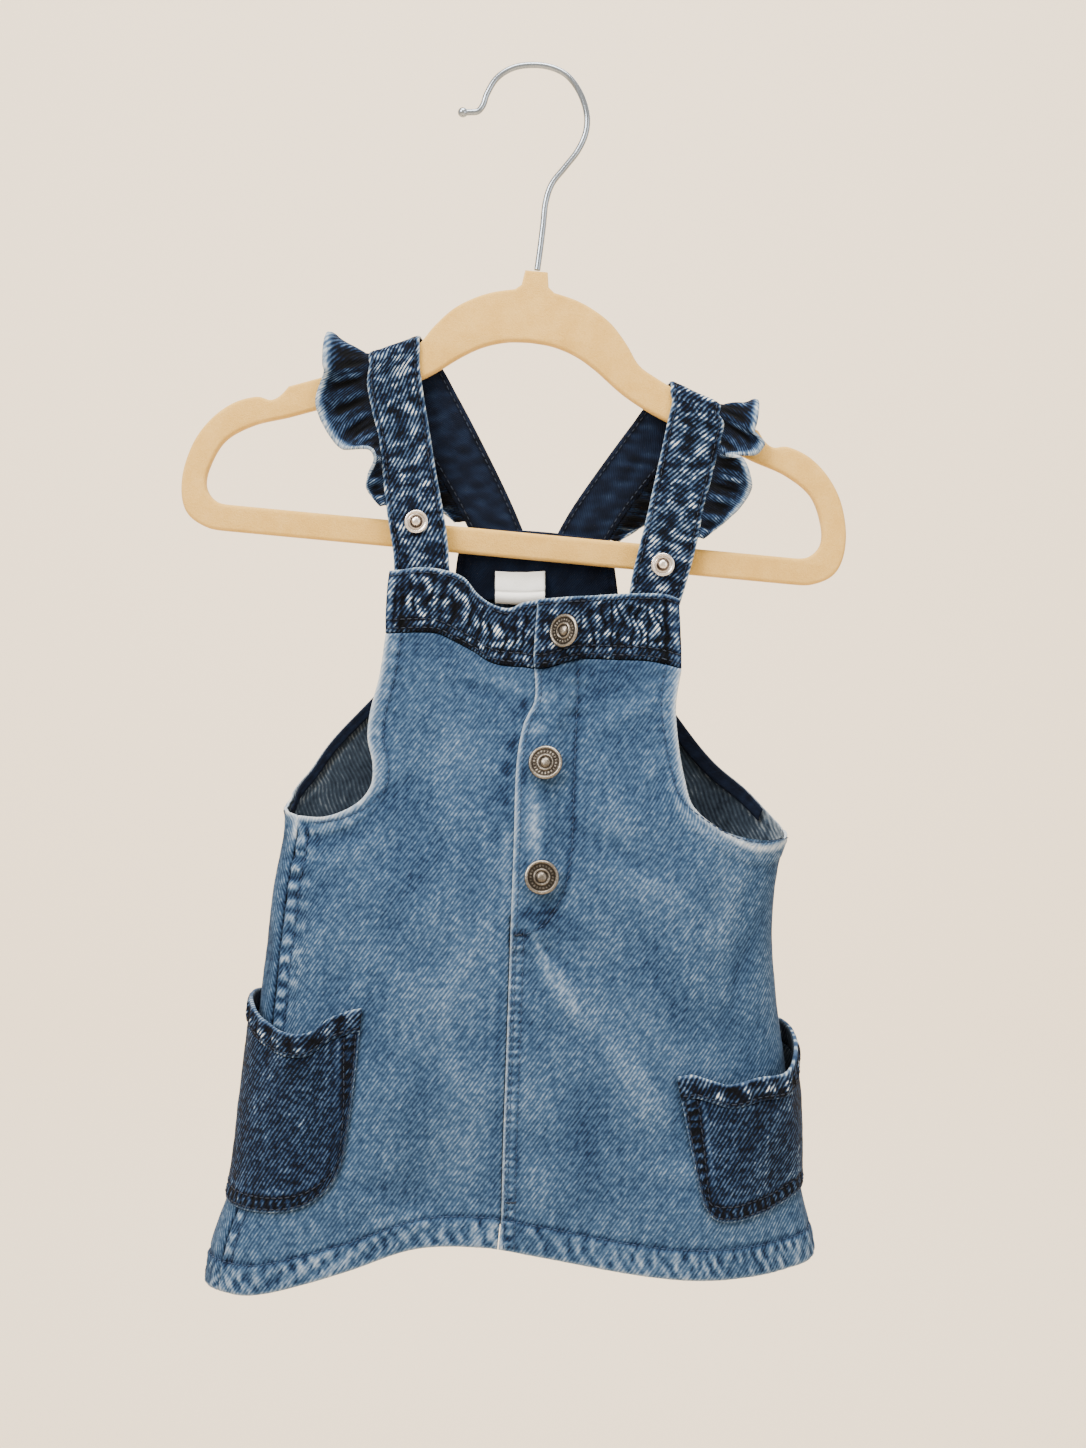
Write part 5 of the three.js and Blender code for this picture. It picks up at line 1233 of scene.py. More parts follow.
def pocket_band(side, columns=200, rows=18):
    u, v = grid(columns, rows)
    mouth = pocket_places(side, u)[1]
    base, facing, stand = on_pocket(side, u, mouth - POCKET_BAND_HEIGHT * v)
    wave = np.sin(2 * math.pi * POCKET_PUCKERS * u + np.sin(u * 8.3))
    fine = np.sin(2 * math.pi * 27 * u + 1.7 * np.sin(u * 19))
    uneven = 0.75 + 0.45 * lumps(u * 60, v * 4, 11, 93)
    gather = (0.8 * uneven * wave + 0.25 * fine) * np.sin(math.pi * v) * np.sin(math.pi * u) ** 0.5
    wall = POCKET_BAND_WALL
    thread = thread_grid(base)
    if side == "left":
        thread[..., 0] *= -1
    cloth = Cloth(base + facing * stand[..., None], facing, wall, wall, thread, follow=0.0)
    cloth.relief, cloth.sharpness = gather, 1.0
    cloth.deep_dye_and_shade += 0.2 - 0.3 * lumps(u * 60, v * 4, 8, 94)
    press(cloth, inset(cloth, "bottom", 1.6), 0.25, 0.6, 0.12, 2, 4.5, 91, 0.5)
    press(cloth, inset(cloth, "top", 1.4), 0.15, 0.5, 0.08, 2, 4.5, 92, 0.2)
    wear(cloth, cloth.base[0], 1.3, 0.8)
    wear(cloth, cloth.base[-1], 0.8, 0.45)
    return cloth


pocket, pocket_top = {}, {}
for side in ("left", "right"):
    pocket[side], pocket_top[side] = pocket_patch(side), pocket_band(side)
    cloth_mesh(f"pocket_patch_{side}", pocket[side], [pocket_denim, inside_denim])
    cloth_mesh(f"pocket_fold_{side}", pocket_top[side], [dark_denim, inside_denim])

# %% [markdown]
# The care label is a bare white tape, folded once and sewn into the facing's seam. It carries no
# words. Its lower end curls forward, as a folded tape does.

# %% The label
LABEL = {"left": -16.8, "right": 4.2, "top": -211, "fold": -224.6, "wall": 0.9, "puff": 1.3, "sag": 0.5}


def label_cloth(columns=26, rows=40):
    u, v = grid(columns, rows)
    share = (LABEL["top"] - YOKE_TOP["z"][1]) / (YOKE_SEAM["z"][0] - YOKE_TOP["z"][1])
    turn = turn_at(np.array(LABEL["left"]), np.array(LABEL["top"]), "back")
    place, facing = hang(turn, LABEL["top"])
    behind = (place - facing * float(facing_depth(share)))[1]
    x = mix(LABEL["left"], LABEL["right"], u)
    z = mix(LABEL["top"], LABEL["fold"], v) - LABEL["sag"] * np.sin(math.pi * u)
    y = behind - FACING_WALL - GAP - 0.05 - LABEL["puff"] * np.sin(math.pi * 0.9 * v) ** 2
    base = np.stack([x, y, z], -1)
    facing = np.broadcast_to([0.0, -1.0, 0.0], base.shape)
    cloth = Cloth(base, facing, LABEL["wall"], LABEL["wall"], np.stack([x, z], -1))
    roll = np.clip((v - 0.66) / 0.34, 0, 1)
    cloth.relief += 0.08 * lumps(x, z, 9, 95) - 0.45 * np.exp(-(((v - 0.64) / 0.035) ** 2))
    cloth.relief += 1.5 * np.sin(math.pi * roll) ** 0.6
    return cloth


label = label_cloth()
cloth_mesh("label_tape", label, [tape])

# %% [markdown]
# The hanger is one moulded shape with a long opening, 5.5 mm thick, its edges well rounded and
# flocked all over. It is drawn as an outside and an inside loop. The loops are repeated at small
# steps inwards and outwards, which rounds the edge, and two flat faces close it.

# %% The hanger's outline
HANGER_OUTSIDE = [
    (8.3, -93.5), (17, -95.5), (25, -98.8), (33.2, -104.1), (40.3, -111.8), (46.4, -120.2),
    (54, -124.9), (64, -129.6), (76, -134.2), (87.4, -138.7), (98.9, -143),
]
HANGER_TIP = [
    (98.9, -143), (102.1, -147.2), (106, -149.4), (112, -148.6), (121.2, -152), (129.5, -159),
    (136, -169), (139.6, -182), (139.2, -193.5), (135.3, -201), (127, -205.2), (118, -205.8),
]
HANGER_INSIDE = [
    (0, -115), (9.5, -115.8), (19, -118.7), (28, -123.8), (42.5, -134.2), (60.5, -142.9),
    (86.2, -151.6), (98, -155.9), (112, -160.6), (123.2, -168.2), (128.7, -179.7), (129.2, -188.5),
    (124, -194.1), (115, -194.8),
]
HOOK = [
    (-37.1, -20.4), (-34.2, -20.1), (-30.9, -19.4), (-29, -16.7), (-27.8, -11.9), (-24.3, -4.8),
    (-18.4, -0.1), (-11.1, 2), (-2.6, 2), (4.9, -0.8), (11, -7.4), (14.8, -16.3), (15.1, -23.9),
    (12.5, -31.8), (7.7, -39.4), (2.9, -47), (1.1, -54.8), (0.9, -65.3), (0.6, -75.9),
    (0.2, -84.85),
]
HANGER_TILT, HANGER_WALL, HANGER_CENTRE = 5.4, 5.5, 8.69
BOSS = [(4.75, -85.2), (5.7, -91.4)]
WIRE, TIP_BALL = 2.6, 4.2


def spline(points, steps):
    """Smooth flat line through points, evenly spaced."""
    p = np.array(points, float)
    p = np.vstack([p[:1], p, p[-1:]])
    spans = len(points) - 1

    def at(t):
        s = np.clip(t, 0, 1) * spans
        i = np.minimum(s.astype(int), spans - 1)
        w = (s - i)[:, None]
        a, b, c, d = (p[i + k] for k in range(4))
        m0, m1 = (c - a) / 2, (d - b) / 2
        return b + w * m0 + w**2 * (3 * (c - b) - 2 * m0 - m1) + w**3 * (2 * (b - c) + m0 + m1)

    t = np.linspace(0, 1, 1200)
    run = np.concatenate([[0], np.cumsum(np.linalg.norm(np.diff(at(t), axis=0), axis=1))])
    return at(np.interp(np.linspace(0, run[-1], steps), run, t))


def tilted(points):
    """From the hanger's own upright frame to the frame of the part."""
    tilt = math.radians(HANGER_TILT)
    turn = np.array([[math.cos(tilt), 0, math.sin(tilt)], [0, 1, 0], [-math.sin(tilt), 0, math.cos(tilt)]])
    return np.asarray(points) @ turn.T


def mirrored(points):
    return (points * [-1, 1])[::-1]


half = np.vstack([BOSS[0], BOSS[1], spline(HANGER_OUTSIDE, 90), spline(HANGER_TIP, 90)[1:]])
outside = np.vstack([half, mirrored(half)])
inside = spline(HANGER_INSIDE, 150)
inside = np.vstack([inside, mirrored(inside)[:-1]])
print("hanger's outline points:", len(outside), len(inside))


# %% The hanger's body
def hanger_mesh(round_off=1.7, steps=6):
    def inward(loop):
        ahead, behind = np.roll(loop, -1, 0), np.roll(loop, 1, 0)
        along = unit(unit(ahead - loop) + unit(loop - behind))
        side = np.stack([along[:, 1], -along[:, 0]], -1)
        area = (loop[:, 0] * ahead[:, 1] - loop[:, 1] * ahead[:, 0]).sum()
        return side if area < 0 else -side

    angles = np.linspace(0, math.pi / 2, steps)
    depth = round_off * (1 - np.cos(angles)) * 0.85
    level = HANGER_WALL / 2 - round_off + round_off * np.sin(angles)
    profile = [(d, -y) for d, y in zip(depth[::-1], level[::-1])] + list(zip(depth, level))
    points, faces, start, rings = [], [], 0, {}
    for name, loop, sign in (("outside", outside, 1), ("inside", inside, -1)):
        side, count = inward(loop) * sign, len(loop)
        for d, y in profile:
            flat = loop + side * d
            points.append(np.stack([flat[:, 0] + HANGER_CENTRE, np.full(count, y), flat[:, 1]], -1))
        for r in range(len(profile) - 1):
            for k in range(count):
                a, b = start + r * count + k, start + r * count + (k + 1) % count
                faces.append((a, b, b + count, a + count))
        rings[name] = (start, start + (len(profile) - 1) * count, count)
        start += len(profile) * count
    points = np.concatenate(points)
    from mathutils.geometry import tessellate_polygon
    for end in (0, 1):
        loops = [np.arange(rings[n][end], rings[n][end] + rings[n][2]) for n in ("outside", "inside")]
        order = np.concatenate(loops)
        flat = [[Vector((points[i][0], points[i][2], 0)) for i in loop] for loop in loops]
        faces += [tuple(order[list(t)]) for t in tessellate_polygon(flat)]
    made = plain_mesh("flocked_hanger", tilted(points), faces, flock)
    return made


def face_outwards(piece):
    """Merges doubles and turns every face outwards."""
    import bmesh
    work = bmesh.new()
    work.from_mesh(piece.data)
    bmesh.ops.remove_doubles(work, verts=work.verts, dist=1e-7)
    bmesh.ops.recalc_face_normals(work, faces=work.faces)
    work.to_mesh(piece.data)
    work.free()
    piece.data.update()


hanger = hanger_mesh()
face_outwards(hanger)
print("hanger's box:", [tuple(round(c, 3) for c in corner) for corner in hanger.bound_box[:1]])

# %% [markdown]
# The hook is a bent wire with a small ball at its tip. It is a ring of points carried along a
# smooth line, and the radius swells into the ball at the start, so wire and ball are one closed
# skin with no seam between them.

# %% The hook
def hook_mesh(sides=20, steps=420):
    tilt = math.radians(HANGER_TILT)
    heights = np.array([z for _, z in HOOK])

    def line(lift):
        return Line([(HANGER_CENTRE + x, 0, z + lift * float(ease(z, -80, -40))) for x, z in HOOK])

    trial = line(0).read(np.linspace(0, 1, 201))
    top = (-trial[:, 0] * math.sin(tilt) + trial[:, 2] * math.cos(tilt)).max()
    course = line((WIRE / 2 - top) / math.cos(tilt))
    ball = TIP_BALL / 2
    reach = np.concatenate([-ball * np.cos(np.linspace(0, math.pi * 0.86, 22)), np.linspace(ball * 0.95, course.length, steps)])
    reach = np.maximum.accumulate(reach)
    radius = np.where(reach < ball, np.sqrt(np.maximum(ball**2 - reach**2, 0)), WIRE / 2)
    radius = np.maximum(radius, np.where(reach > 0, WIRE / 2, 0))
    radius[-1] = 0
    reach[-1] = reach[-2]
    places = course.at(np.clip(reach / course.length, 0, 1))
    first = unit(course.at([0.002]) - course.at([0.0]))[0]
    places = np.where(reach[:, None] < 0, course.at([0.0]) + first * reach[:, None], places)
    along = unit(np.gradient(course.at(np.clip(reach / course.length, 0, 0.999) ), axis=0) + 1e-9 * first)
    along[reach < ball] = first
    along[-2:] = along[-3]
    side = np.array([0.0, 1.0, 0.0])
    up = unit(np.cross(side, along))
    angle = np.linspace(0, 2 * math.pi, sides, endpoint=False)
    ring = side * np.cos(angle)[:, None]
    points = places[:, None] + radius[:, None, None] * (ring[None] + up[:, None] * np.sin(angle)[None, :, None])
    count = len(places)
    k = np.arange(count * sides).reshape(count, sides)
    a, b, c, d = k[:-1], np.roll(k, -1, 1)[:-1], np.roll(k, -1, 1)[1:], k[1:]
    faces = np.stack([a.ravel(), b.ravel(), c.ravel(), d.ravel()], 1)
    made = plain_mesh("hook_wire", tilted(points.reshape(-1, 3)), faces, wire_plate)
    face_outwards(made)
    return made


hook = hook_mesh()

# %% [markdown]
# A jeans button is a stamped cap over a post: a rolled rim, a hollow, a raised ring and a small
# dome. The real ones carry words round the ring; here that ring has plain fine ridges. The strap's
# snaps are a flat ring with a post. Each is turned like a bowl on a lathe, from a profile of
# radius, height and rubbed brightness.

# %% Buttons and snaps
BUTTON_PROFILE = [
    (0, 0, 0), (1.8, 0, 0), (1.8, 1.8, 0), (6.3, 2.05, 0), (6.9, 2.4, 0.3), (7, 2.85, 0.8), (6.75, 3.3, 1),
    (6.3, 3.5, 1), (5.85, 3.42, 0.7), (5.6, 3.2, -0.6), (5.4, 3.14, -0.9), (4.6, 3.2, 0), (3.8, 3.16, -0.6),
    (3.55, 3.2, -0.5), (3.3, 3.5, 0.9), (2.95, 3.56, 1), (2.7, 3.34, 0), (2.35, 3.18, -1), (2.1, 3.3, -0.4),
    (1.7, 3.66, 0.7), (1.0, 3.9, 1), (0, 3.95, 1),
]
SNAP_PROFILE = [
    (0, 0, 0), (4.7, 0, 0), (4.9, 0.25, 0.4), (4.9, 0.7, 0.9), (4.6, 1.05, 1), (4.1, 1.1, 0.9), (3.7, 0.95, 0.3),
    (3.4, 0.86, -0.2), (3.15, 0.95, 0.5), (2.8, 0.96, 0.4), (2.45, 0.8, -0.8), (2.1, 0.74, -1), (1.95, 0.9, -0.6),
    (1.9, 1.7, 0.2), (1.82, 2.25, 0.7), (1.45, 2.7, 1), (0.8, 2.88, 0.9), (0, 2.92, 0.8),
]
BUTTONS = {"button_top": (13.4, -238.2, 5.6, -36), "button_middle": (4.7, -292.2, 2.2, -8), "button_low": (2.6, -338, 2.2, 4)}
SNAPS = {"snap_left": ("left", -49.3, -191.4), "snap_right": ("right", 53.1, -209.3)}


def turned_piece(name, profile, place, facing, finish, ridges=0, sides=72):
    r, h, bright = (Line([(p[k], 0, 0) for p in profile]) and np.array([p[k] for p in profile], float) for k in range(3))
    fine = np.linspace(0, len(r) - 1, len(r) * 3 - 2)
    r, h, bright = (np.interp(fine, np.arange(len(r)), column) for column in (r, h, bright))
    angle = np.linspace(0, 2 * math.pi, sides, endpoint=False)
    z_axis = Vector(facing).normalized()
    turn = np.array(Vector((0, 0, 1)).rotation_difference(z_axis).to_matrix())
    height = np.repeat(h[:, None], sides, 1)
    raised = np.repeat(bright[:, None], sides, 1)
    if ridges:
        on_ring = np.exp(-(((r - 4.55) / 0.45) ** 2))[:, None] * (h > 2.9)[:, None]
        wave = np.clip(np.sin(angle * ridges)[None, :] * 2, -1, 1)
        height, raised = height + 0.13 * wave * on_ring, raised + 0.8 * wave * on_ring
    points = np.stack([r[:, None] * np.cos(angle), r[:, None] * np.sin(angle), height], -1)
    points = points.reshape(-1, 3) @ turn.T + place
    k = np.arange(len(r) * sides).reshape(len(r), sides)
    a, b, c, d = k[:-1], np.roll(k, -1, 1)[:-1], np.roll(k, -1, 1)[1:], k[1:]
    faces = np.stack([a.ravel(), b.ravel(), c.ravel(), d.ravel()], 1)
    made = plain_mesh(name, points, faces, finish, {"raised": raised.ravel()})
    face_outwards(made)
    return made


for name, (x, z, out, swing) in BUTTONS.items():
    turn = turn_at(np.array(x), np.array(z))
    place, _ = hang(turn, z)
    flat = skin_facing(turn, z)
    a = math.radians(swing)
    facing = np.array([flat[0] * math.cos(a) - flat[1] * math.sin(a), flat[0] * math.sin(a) + flat[1] * math.cos(a), flat[2]])
    turned_piece(f"{name}_cap", BUTTON_PROFILE, place + flat * (out + GAP), facing, pewter, 22)
for name, (side, x, z) in SNAPS.items():
    shape = STRAP_SHAPES[side]
    top = (shape["front_outer"][0][1] + shape["front_inner"][0][1]) / 2
    end = (shape["front_outer"][-1][1] + shape["front_inner"][-1][1]) / 2
    y = mix(*STRAP_FRONT_Y, float(ease((z - top) / (end - top), 0, 1)))
    turned_piece(f"{name}_stud", SNAP_PROFILE, np.array([x, y - STRAP_WALL / 2 - GAP - 0.25, z]), (0, -1, 0), snap_plate)

# %% [markdown]
# Stitches lie along the seam lines that the cloth was pressed by. A small tree of geometry nodes
# sews them: it walks each line at the stitch's pitch, lays one short spindle of thread along it
# and turns it by the seeded wander of a real hand-guided seam. The spindles are then made into
# a plain mesh. Drawing each stitch by hand would give the same result with far more numbers.

# %% The sewing tree
SEWING = {"Pitch": "Walk between stitches", "Length": "Length of one stitch", "Thread": "Radius of the thread",
          "Flatness": "Height as a share of its width", "Wander": "Turn of a stitch, in degrees"}


def sewing_tree():
    tree = bpy.data.node_groups.new("sewing", "GeometryNodeTree")
    face = tree.interface
    face.new_socket("Geometry", in_out="INPUT", socket_type="NodeSocketGeometry")
    for name, about in SEWING.items():
        face.new_socket(name, in_out="INPUT", socket_type="NodeSocketFloat", description=about)
    face.new_socket("Seed", in_out="INPUT", socket_type="NodeSocketInt")
    face.new_socket("Finish", in_out="INPUT", socket_type="NodeSocketMaterial")
    face.new_socket("Geometry", in_out="OUTPUT", socket_type="NodeSocketGeometry")
    given = knot(tree, "NodeGroupInput").outputs
    curve = knot(tree, "GeometryNodeMeshToCurve", {"Mesh": given["Geometry"]})
    walked = knot(tree, "GeometryNodeResampleCurve", {"Curve": curve.outputs[0], "Length": given["Pitch"]}, mode="LENGTH")
    half = sums(tree, "MULTIPLY", given["Length"], 0.5)
    low = sums(tree, "MULTIPLY", given["Thread"], given["Flatness"])
    size = knot(tree, "ShaderNodeCombineXYZ", {0: half, 1: given["Thread"], 2: low})
    vary = knot(tree, "FunctionNodeRandomValue", {2: 0.82, 3: 1.12, "Seed": given["Seed"]}, data_type="FLOAT")
    scale = knot(tree, "ShaderNodeVectorMath", {0: size.outputs[0], "Scale": vary.outputs[1]}, operation="SCALE")
    run = knot(tree, "FunctionNodeAlignRotationToVector", {"Vector": knot(tree, "GeometryNodeInputTangent").outputs[0]}, axis="X")
    up = knot(tree, "GeometryNodeInputNamedAttribute", {"Name": "facing"}, data_type="FLOAT_VECTOR")
    turned = knot(tree, "FunctionNodeAlignRotationToVector", {"Rotation": run.outputs[0], "Vector": up.outputs[0]}, axis="Z", pivot_axis="X")
    most = sums(tree, "MULTIPLY", given["Wander"], math.radians(1))
    least = sums(tree, "MULTIPLY", most, -1.0)
    swing = knot(tree, "FunctionNodeRandomValue", {2: least, 3: most, "Seed": sums(tree, "ADD", given["Seed"], 7)}, data_type="FLOAT")
    swung = knot(tree, "FunctionNodeAxisAngleToRotation", {"Axis": (0, 0, 1), "Angle": swing.outputs[1]})
    facing = knot(tree, "FunctionNodeRotateRotation", {0: turned.outputs[0], 1: swung.outputs[0]}, rotation_space="LOCAL")
    spindle = knot(tree, "GeometryNodeMeshUVSphere", {"Segments": 6, "Rings": 5, "Radius": 1.0})
    laid = knot(tree, "GeometryNodeInstanceOnPoints", {
        "Points": walked.outputs[0], "Instance": spindle.outputs["Mesh"],
        "Rotation": facing.outputs[0], "Scale": scale.outputs[0]})
    real = knot(tree, "GeometryNodeRealizeInstances", {0: laid.outputs[0]})
    smooth = knot(tree, "GeometryNodeSetShadeSmooth", {0: real.outputs[0]})
    done = knot(tree, "GeometryNodeSetMaterial", {"Geometry": smooth.outputs[0], "Material": given["Finish"]})
    knot(tree, "NodeGroupOutput", {0: done.outputs[0]})
    return tree


sewing = sewing_tree()
print("sewing tree:", len(sewing.nodes), "nodes")

# %% Threads on the cloth
def on_top(cloth, line, lift=0.1, inner=False):
    """The line's places on the cloth's outer or inner face, and the facing there."""
    line = even(line, 0.8)[2:-2]
    base, facing = cloth.base.reshape(-1, 3), cloth.facing.reshape(-1, 3)
    rise = (cloth.out + cloth.relief).ravel()
    if inner:
        facing, rise = -facing, -(cloth.out - cloth.wall + cloth.relief * cloth.follow).ravel()
    square = (base**2).sum(1)
    gap = square[None] - 2 * line @ base.T + (line**2).sum(1)[:, None]
    close = np.argpartition(gap, 6, axis=1)[:, :6]
    weight = 1 / (np.take_along_axis(gap, close, 1) + 0.1)
    weight /= weight.sum(1, keepdims=True)
    up = unit((facing[close] * weight[..., None]).sum(1))
    return line + up * ((rise[close] * weight).sum(1) + lift)[:, None], up


def sew(name, rows, finish, pitch=2.9, length=2.5, thread=0.3, flat=0.75, wander=4.0, seed=1):
    """Stitches along rows of (places, facings), as one plain mesh."""
    places, facings, edges, start = [], [], [], 0
    for line, up in rows:
        places.append(line)
        facings.append(up)
        edges += [(start + k, start + k + 1) for k in range(len(line) - 1)]
        start += len(line)
    mesh = bpy.data.meshes.new(name + "_line")
    mesh.from_pydata((np.concatenate(places) * MM).tolist(), edges, [])
    layer = mesh.attributes.new("facing", "FLOAT_VECTOR", "POINT")
    layer.data.foreach_set("vector", np.concatenate(facings).astype(np.float32).ravel())
    line = bpy.data.objects.new(name + "_line", mesh)
    bpy.context.scene.collection.objects.link(line)
    live = line.modifiers.new("sewing", "NODES")
    live.node_group = sewing
    given = {"Pitch": pitch * MM, "Length": length * MM, "Thread": thread * MM, "Flatness": flat,
             "Wander": wander, "Seed": seed, "Finish": finish}
    for item in sewing.interface.items_tree:
        if item.in_out == "INPUT" and item.name in given:
            live[item.identifier] = given[item.name]
    bpy.context.view_layer.update()
    ready = line.evaluated_get(bpy.context.evaluated_depsgraph_get())
    sewn = bpy.data.meshes.new_from_object(ready)
    bpy.data.objects.remove(line)
    made = bpy.data.objects.new(name, sewn)
    bpy.context.scene.collection.objects.link(made)
    pieces[name] = made
    print(f"{name}: {len(sewn.polygons)} faces")
    return made


def around(cloth, distance, edges):
    return [on_top(cloth, inset(cloth, edge, distance, ["start", "end"])) for edge in edges]


# %% Every row of stitches
front_rows = {side: [on_top(cloth, hem_seam[side])] for side, cloth in front.items()}
for side, cloth in front.items():
    hole = inset(cloth, "left", 6.6)[: int(FRONT_ROWS * ARMHOLE_SHARE)]
    front_rows[side].append(on_top(cloth, hole))
front_rows["left"].append(on_top(front["left"], side_fell["left"]))
front_rows["right"] += [on_top(right, line) for line in (*centre_rows, fly_row)]
front_rows["right"].append(on_top(right, inset(right, "right", 2.4)[2:-HEM_ROWS]))
back_rows = [on_top(back, hem_seam["back"])]
back_rows += [on_top(back, inset(back, edge, 6.6)[: int(BACK_ROWS * ARMHOLE_SHARE)]) for edge in ("left", "right")]
back_rows += [on_top(back, inset(back, "top", distance)) for distance in (1.6, 5.4)]
sew("stitches_front_left", front_rows["left"], blue_thread, seed=2)
sew("stitches_front_right", front_rows["right"], blue_thread, seed=3)
sew("stitches_back", back_rows, blue_thread, seed=4)
sew("bar_tacks", [on_top(right, bar_tack, 0.25), on_top(right, low_tack, 0.25)], dark_thread, 0.55, 1.6, 0.3, seed=5, wander=70)
for side in ("left", "right"):
    rows = [on_top(band[side], inset(band[side], "bottom", d)) for d in (1.6, 5.2)]
    rows.append(on_top(band[side], inset(band[side], "top", 2.2)))
    sew(f"stitches_band_{side}", rows, dark_thread, seed=6)
    rows = [on_top(strap[side], inset(strap[side], edge, 2.0)) for edge in ("left", "right")]
    rows += [on_top(strap[side], inset(strap[side], edge, 2.0), inner=True) for edge in ("left", "right")]
    sew(f"stitches_strap_{side}", rows, dark_thread, seed=7)
    rows = [on_top(pocket[side], pocket_row(pocket[side], d)) for d in (1.4, 6.2)]
    sew(f"stitches_pocket_{side}", rows, dark_thread, seed=8)
    sew(f"stitches_fold_{side}", [on_top(pocket_top[side], inset(pocket_top[side], "bottom", 1.6))], dark_thread, seed=9)
rows = around(yoke, 2.2, ("left", "right", "top"))
sew("stitches_yoke", rows, dark_thread, seed=10)

# %% [markdown]
# The room is plain: a pale wall far behind and a floor far below, both pieces of one sheet, and
# soft light from large lamps. The camera stands where the photographer stood, level with the
# waist, 0.9 m away.

# %% Room, light and camera
def plain_finish(name, code, roughness):
    finish, tree, shader = new_finish(name, roughness, gloss=0.1)
    place = knot(tree, "ShaderNodeTexCoord").outputs["Object"]
    soft = sums(tree, "MULTIPLY_ADD", noise(tree, place, 0.6, 2), 0.1, 0.5)
    feed(tree, shader.inputs["Base Color"], ramp(tree, soft, [(0, code), (1, code)]))
    return finish


def room():
    wall_y, floor_z, wide, high, bend = 2.2, -1.2, 4.0, 3.0, 0.5
    angle = np.linspace(0, math.pi / 2, 13)
    line = [(-3.5, floor_z)] + [(wall_y - bend + bend * math.sin(a), floor_z + bend - bend * math.cos(a)) for a in angle]
    line.append((wall_y, high))
    points = [(x, y, z) for y, z in line for x in (-wide, wide)]
    faces = [(2 * i, 2 * i + 1, 2 * i + 3, 2 * i + 2) for i in range(len(line) - 1)]
    mesh = bpy.data.meshes.new("room")
    mesh.from_pydata(points, [], faces)
    mesh.materials.append(plain_finish("room_paint", "#f6e7d0", 0.9))
    mesh.shade_smooth()
    made = bpy.data.objects.new("room", mesh)
    bpy.context.scene.collection.objects.link(made)


def lamp(name, place, aim, size, power, colour=(1, 1, 1)):
    light = bpy.data.lights.new(name, "AREA")
    light.shape, light.size, light.energy, light.color = "SQUARE", size, power, colour
    made = bpy.data.objects.new(name, light)
    made.location = place
    made.rotation_euler = (Vector(aim) - Vector(place)).to_track_quat("-Z", "Y").to_euler()
    bpy.context.scene.collection.objects.link(made)


room()
middle = (0.0, 0.0, -0.28)
lamp("window", (-1.2, -1.4, 0.8), middle, 0.9, 62, (1.0, 0.985, 0.96))
lamp("fill", (1.6, -1.2, -0.1), middle, 1.4, 16, (0.99, 0.99, 1.0))
lamp("behind", (0.6, 1.3, 0.9), middle, 1.0, 14)
lamp("wall_wash", (0.0, -0.6, 1.7), (0.0, 2.2, -0.5), 1.5, 120, (1.0, 0.985, 0.96))
world = bpy.data.worlds.new("pale_room")
world.use_nodes = True
world.node_tree.nodes["Background"].inputs[0].default_value = tint("#ece3d6")
world.node_tree.nodes["Background"].inputs[1].default_value = 1.65
bpy.context.scene.world = world
eye = bpy.data.cameras.new("eye")
eye.lens, eye.sensor_width, eye.dof.use_dof = 53.27, 36.0, False
camera = bpy.data.objects.new("camera", eye)
camera.location, camera.rotation_euler = (0.00336, -0.9, -0.2755), (math.pi / 2, 0, 0)
bpy.context.scene.collection.objects.link(camera)
bpy.context.scene.camera = camera
bpy.context.scene.render.resolution_x, bpy.context.scene.render.resolution_y = 1086, 1448
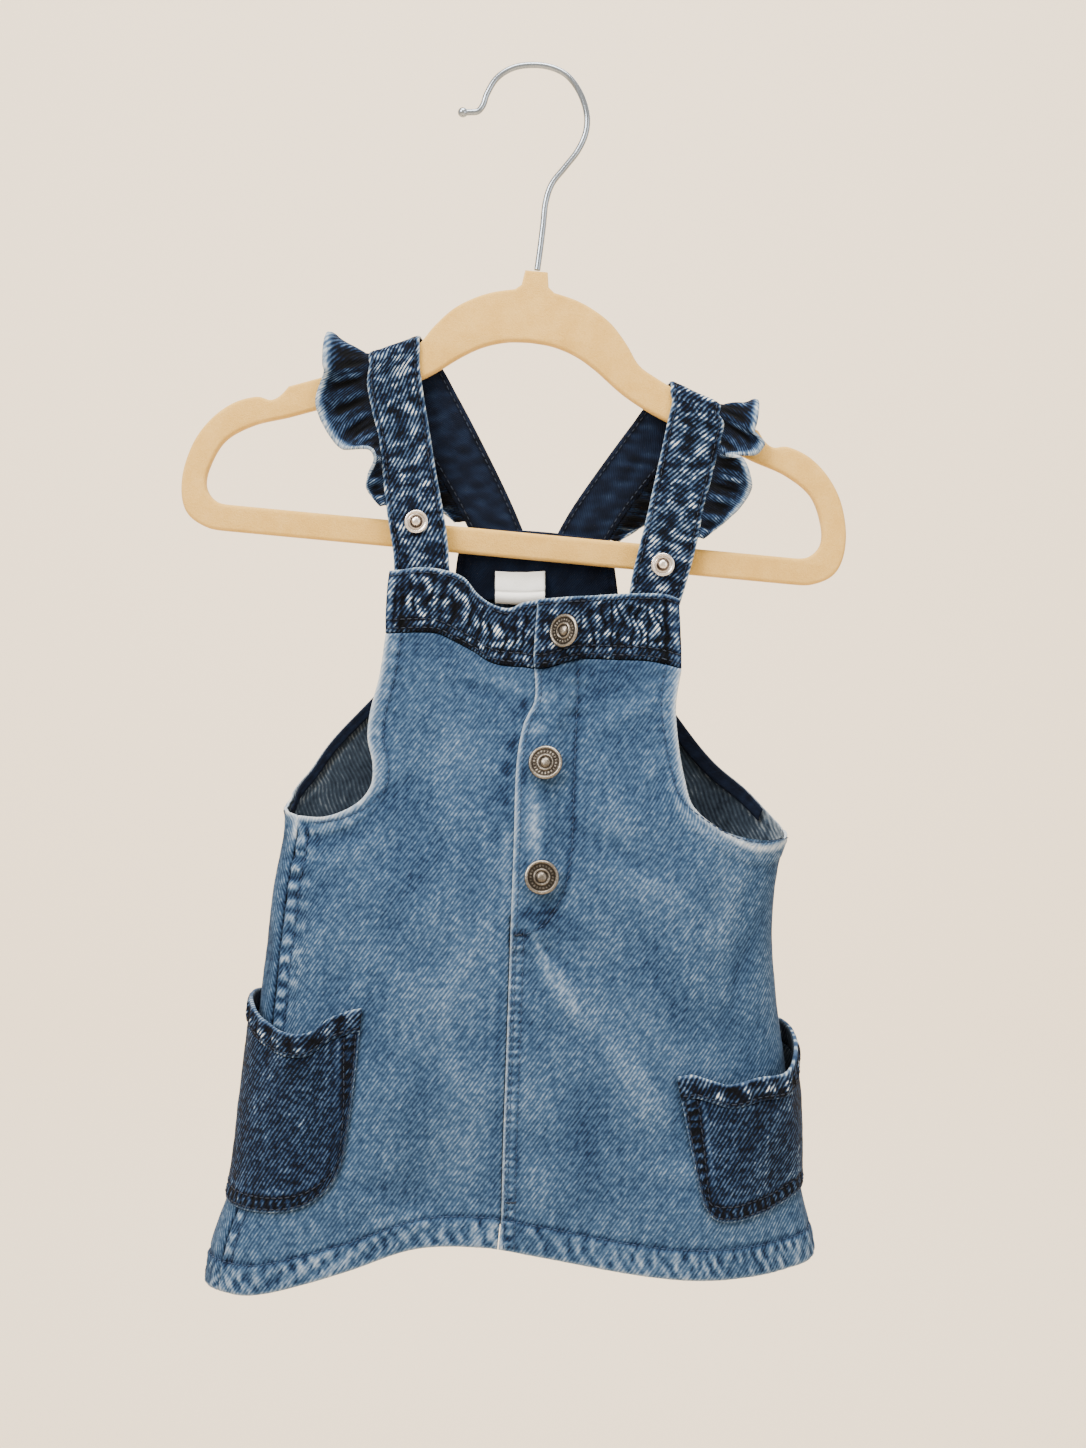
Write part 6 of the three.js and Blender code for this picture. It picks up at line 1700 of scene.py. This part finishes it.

# %% [markdown]
# Each piece is listed with the solid it stands for, a finish slot and, if it is cloth, how it was
# cut. The script hides that solid and hangs every piece, the stitches too, from the root; the slot
# and the cut are only listed. A cut's size is the flat piece that shows, in millimetres, before it
# was gathered, pressed or hung. A piece cut to a shape also gives its share of that rectangle.

# %% What each piece stands for
# piece: solid, slot, width and length of the cut, share of it, how it is held
CUTS = {
    "front_cloth_left": ("front_left", "denim_light", 140, 245, 0.8, "hung"),
    "front_cloth_right": ("front_right", "denim_light", 150, 245, 0.8, "hung"),
    "back_cloth": ("back_panel", "denim_light", 285, 280, 0.75, "hung"),
    "bib_band_left": ("band_left", "denim_dark", 85, 33, 1, "gathered"),
    "bib_band_right": ("band_right", "denim_dark", 76, 33, 1, "gathered"),
    "yoke": ("back_yoke", "denim_dark", 70, 32, 0.9, "hung"),
    "yoke_lining": ("yoke_facing", "twill_navy", 68, 32, 0.9, "hung"),
    "armhole_strip_left": ("armhole_facing_left", "twill_navy", 118, 10, 0.5, "hung"),
    "armhole_strip_right": ("armhole_facing_right", "twill_navy", 128, 10, 0.62, "hung"),
    "strap_cloth_left": ("strap_left", "denim_dark", 23, 185, 1, "draped"),
    "strap_cloth_right": ("strap_right", "denim_dark", 24, 180, 1, "draped"),
    "frill_left": ("ruffle_left", "denim_dark", 210, 16, 1, "gathered"),
    "frill_right": ("ruffle_right", "denim_dark", 186, 15.5, 1, "gathered"),
    "pocket_patch_left": ("pocket_left", "denim_dark", 85, 72, 0.95, "hung"),
    "pocket_patch_right": ("pocket_right", "denim_dark", 90, 60, 0.95, "hung"),
    "pocket_fold_left": ("pocket_band_left", "denim_dark", 110, 11, 1, "gathered"),
    "pocket_fold_right": ("pocket_band_right", "denim_dark", 115, 11, 1, "gathered"),
    "label_tape": ("care_label", "label_tape", 21, 15, 1, "hung"),
}
HARD = {
    "flocked_hanger": ("hanger_body", "flock"), "hook_wire": ("hanger_hook", "hook_wire"),
    "button_top_cap": ("button_top", "pewter"), "button_middle_cap": ("button_middle", "pewter"),
    "button_low_cap": ("button_low", "pewter"), "snap_left_stud": ("snap_left", "snap_metal"),
    "snap_right_stud": ("snap_right", "snap_metal"),
}


for name, (solid, slot, wide, long, share, held) in CUTS.items():
    piece = pieces[name]
    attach(piece, "root")
    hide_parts(solid)
for name, (solid, slot) in HARD.items():
    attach(pieces[name], "root")
    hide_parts(solid)
for name, piece in pieces.items():
    if name not in CUTS and name not in HARD:
        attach(piece, "root")
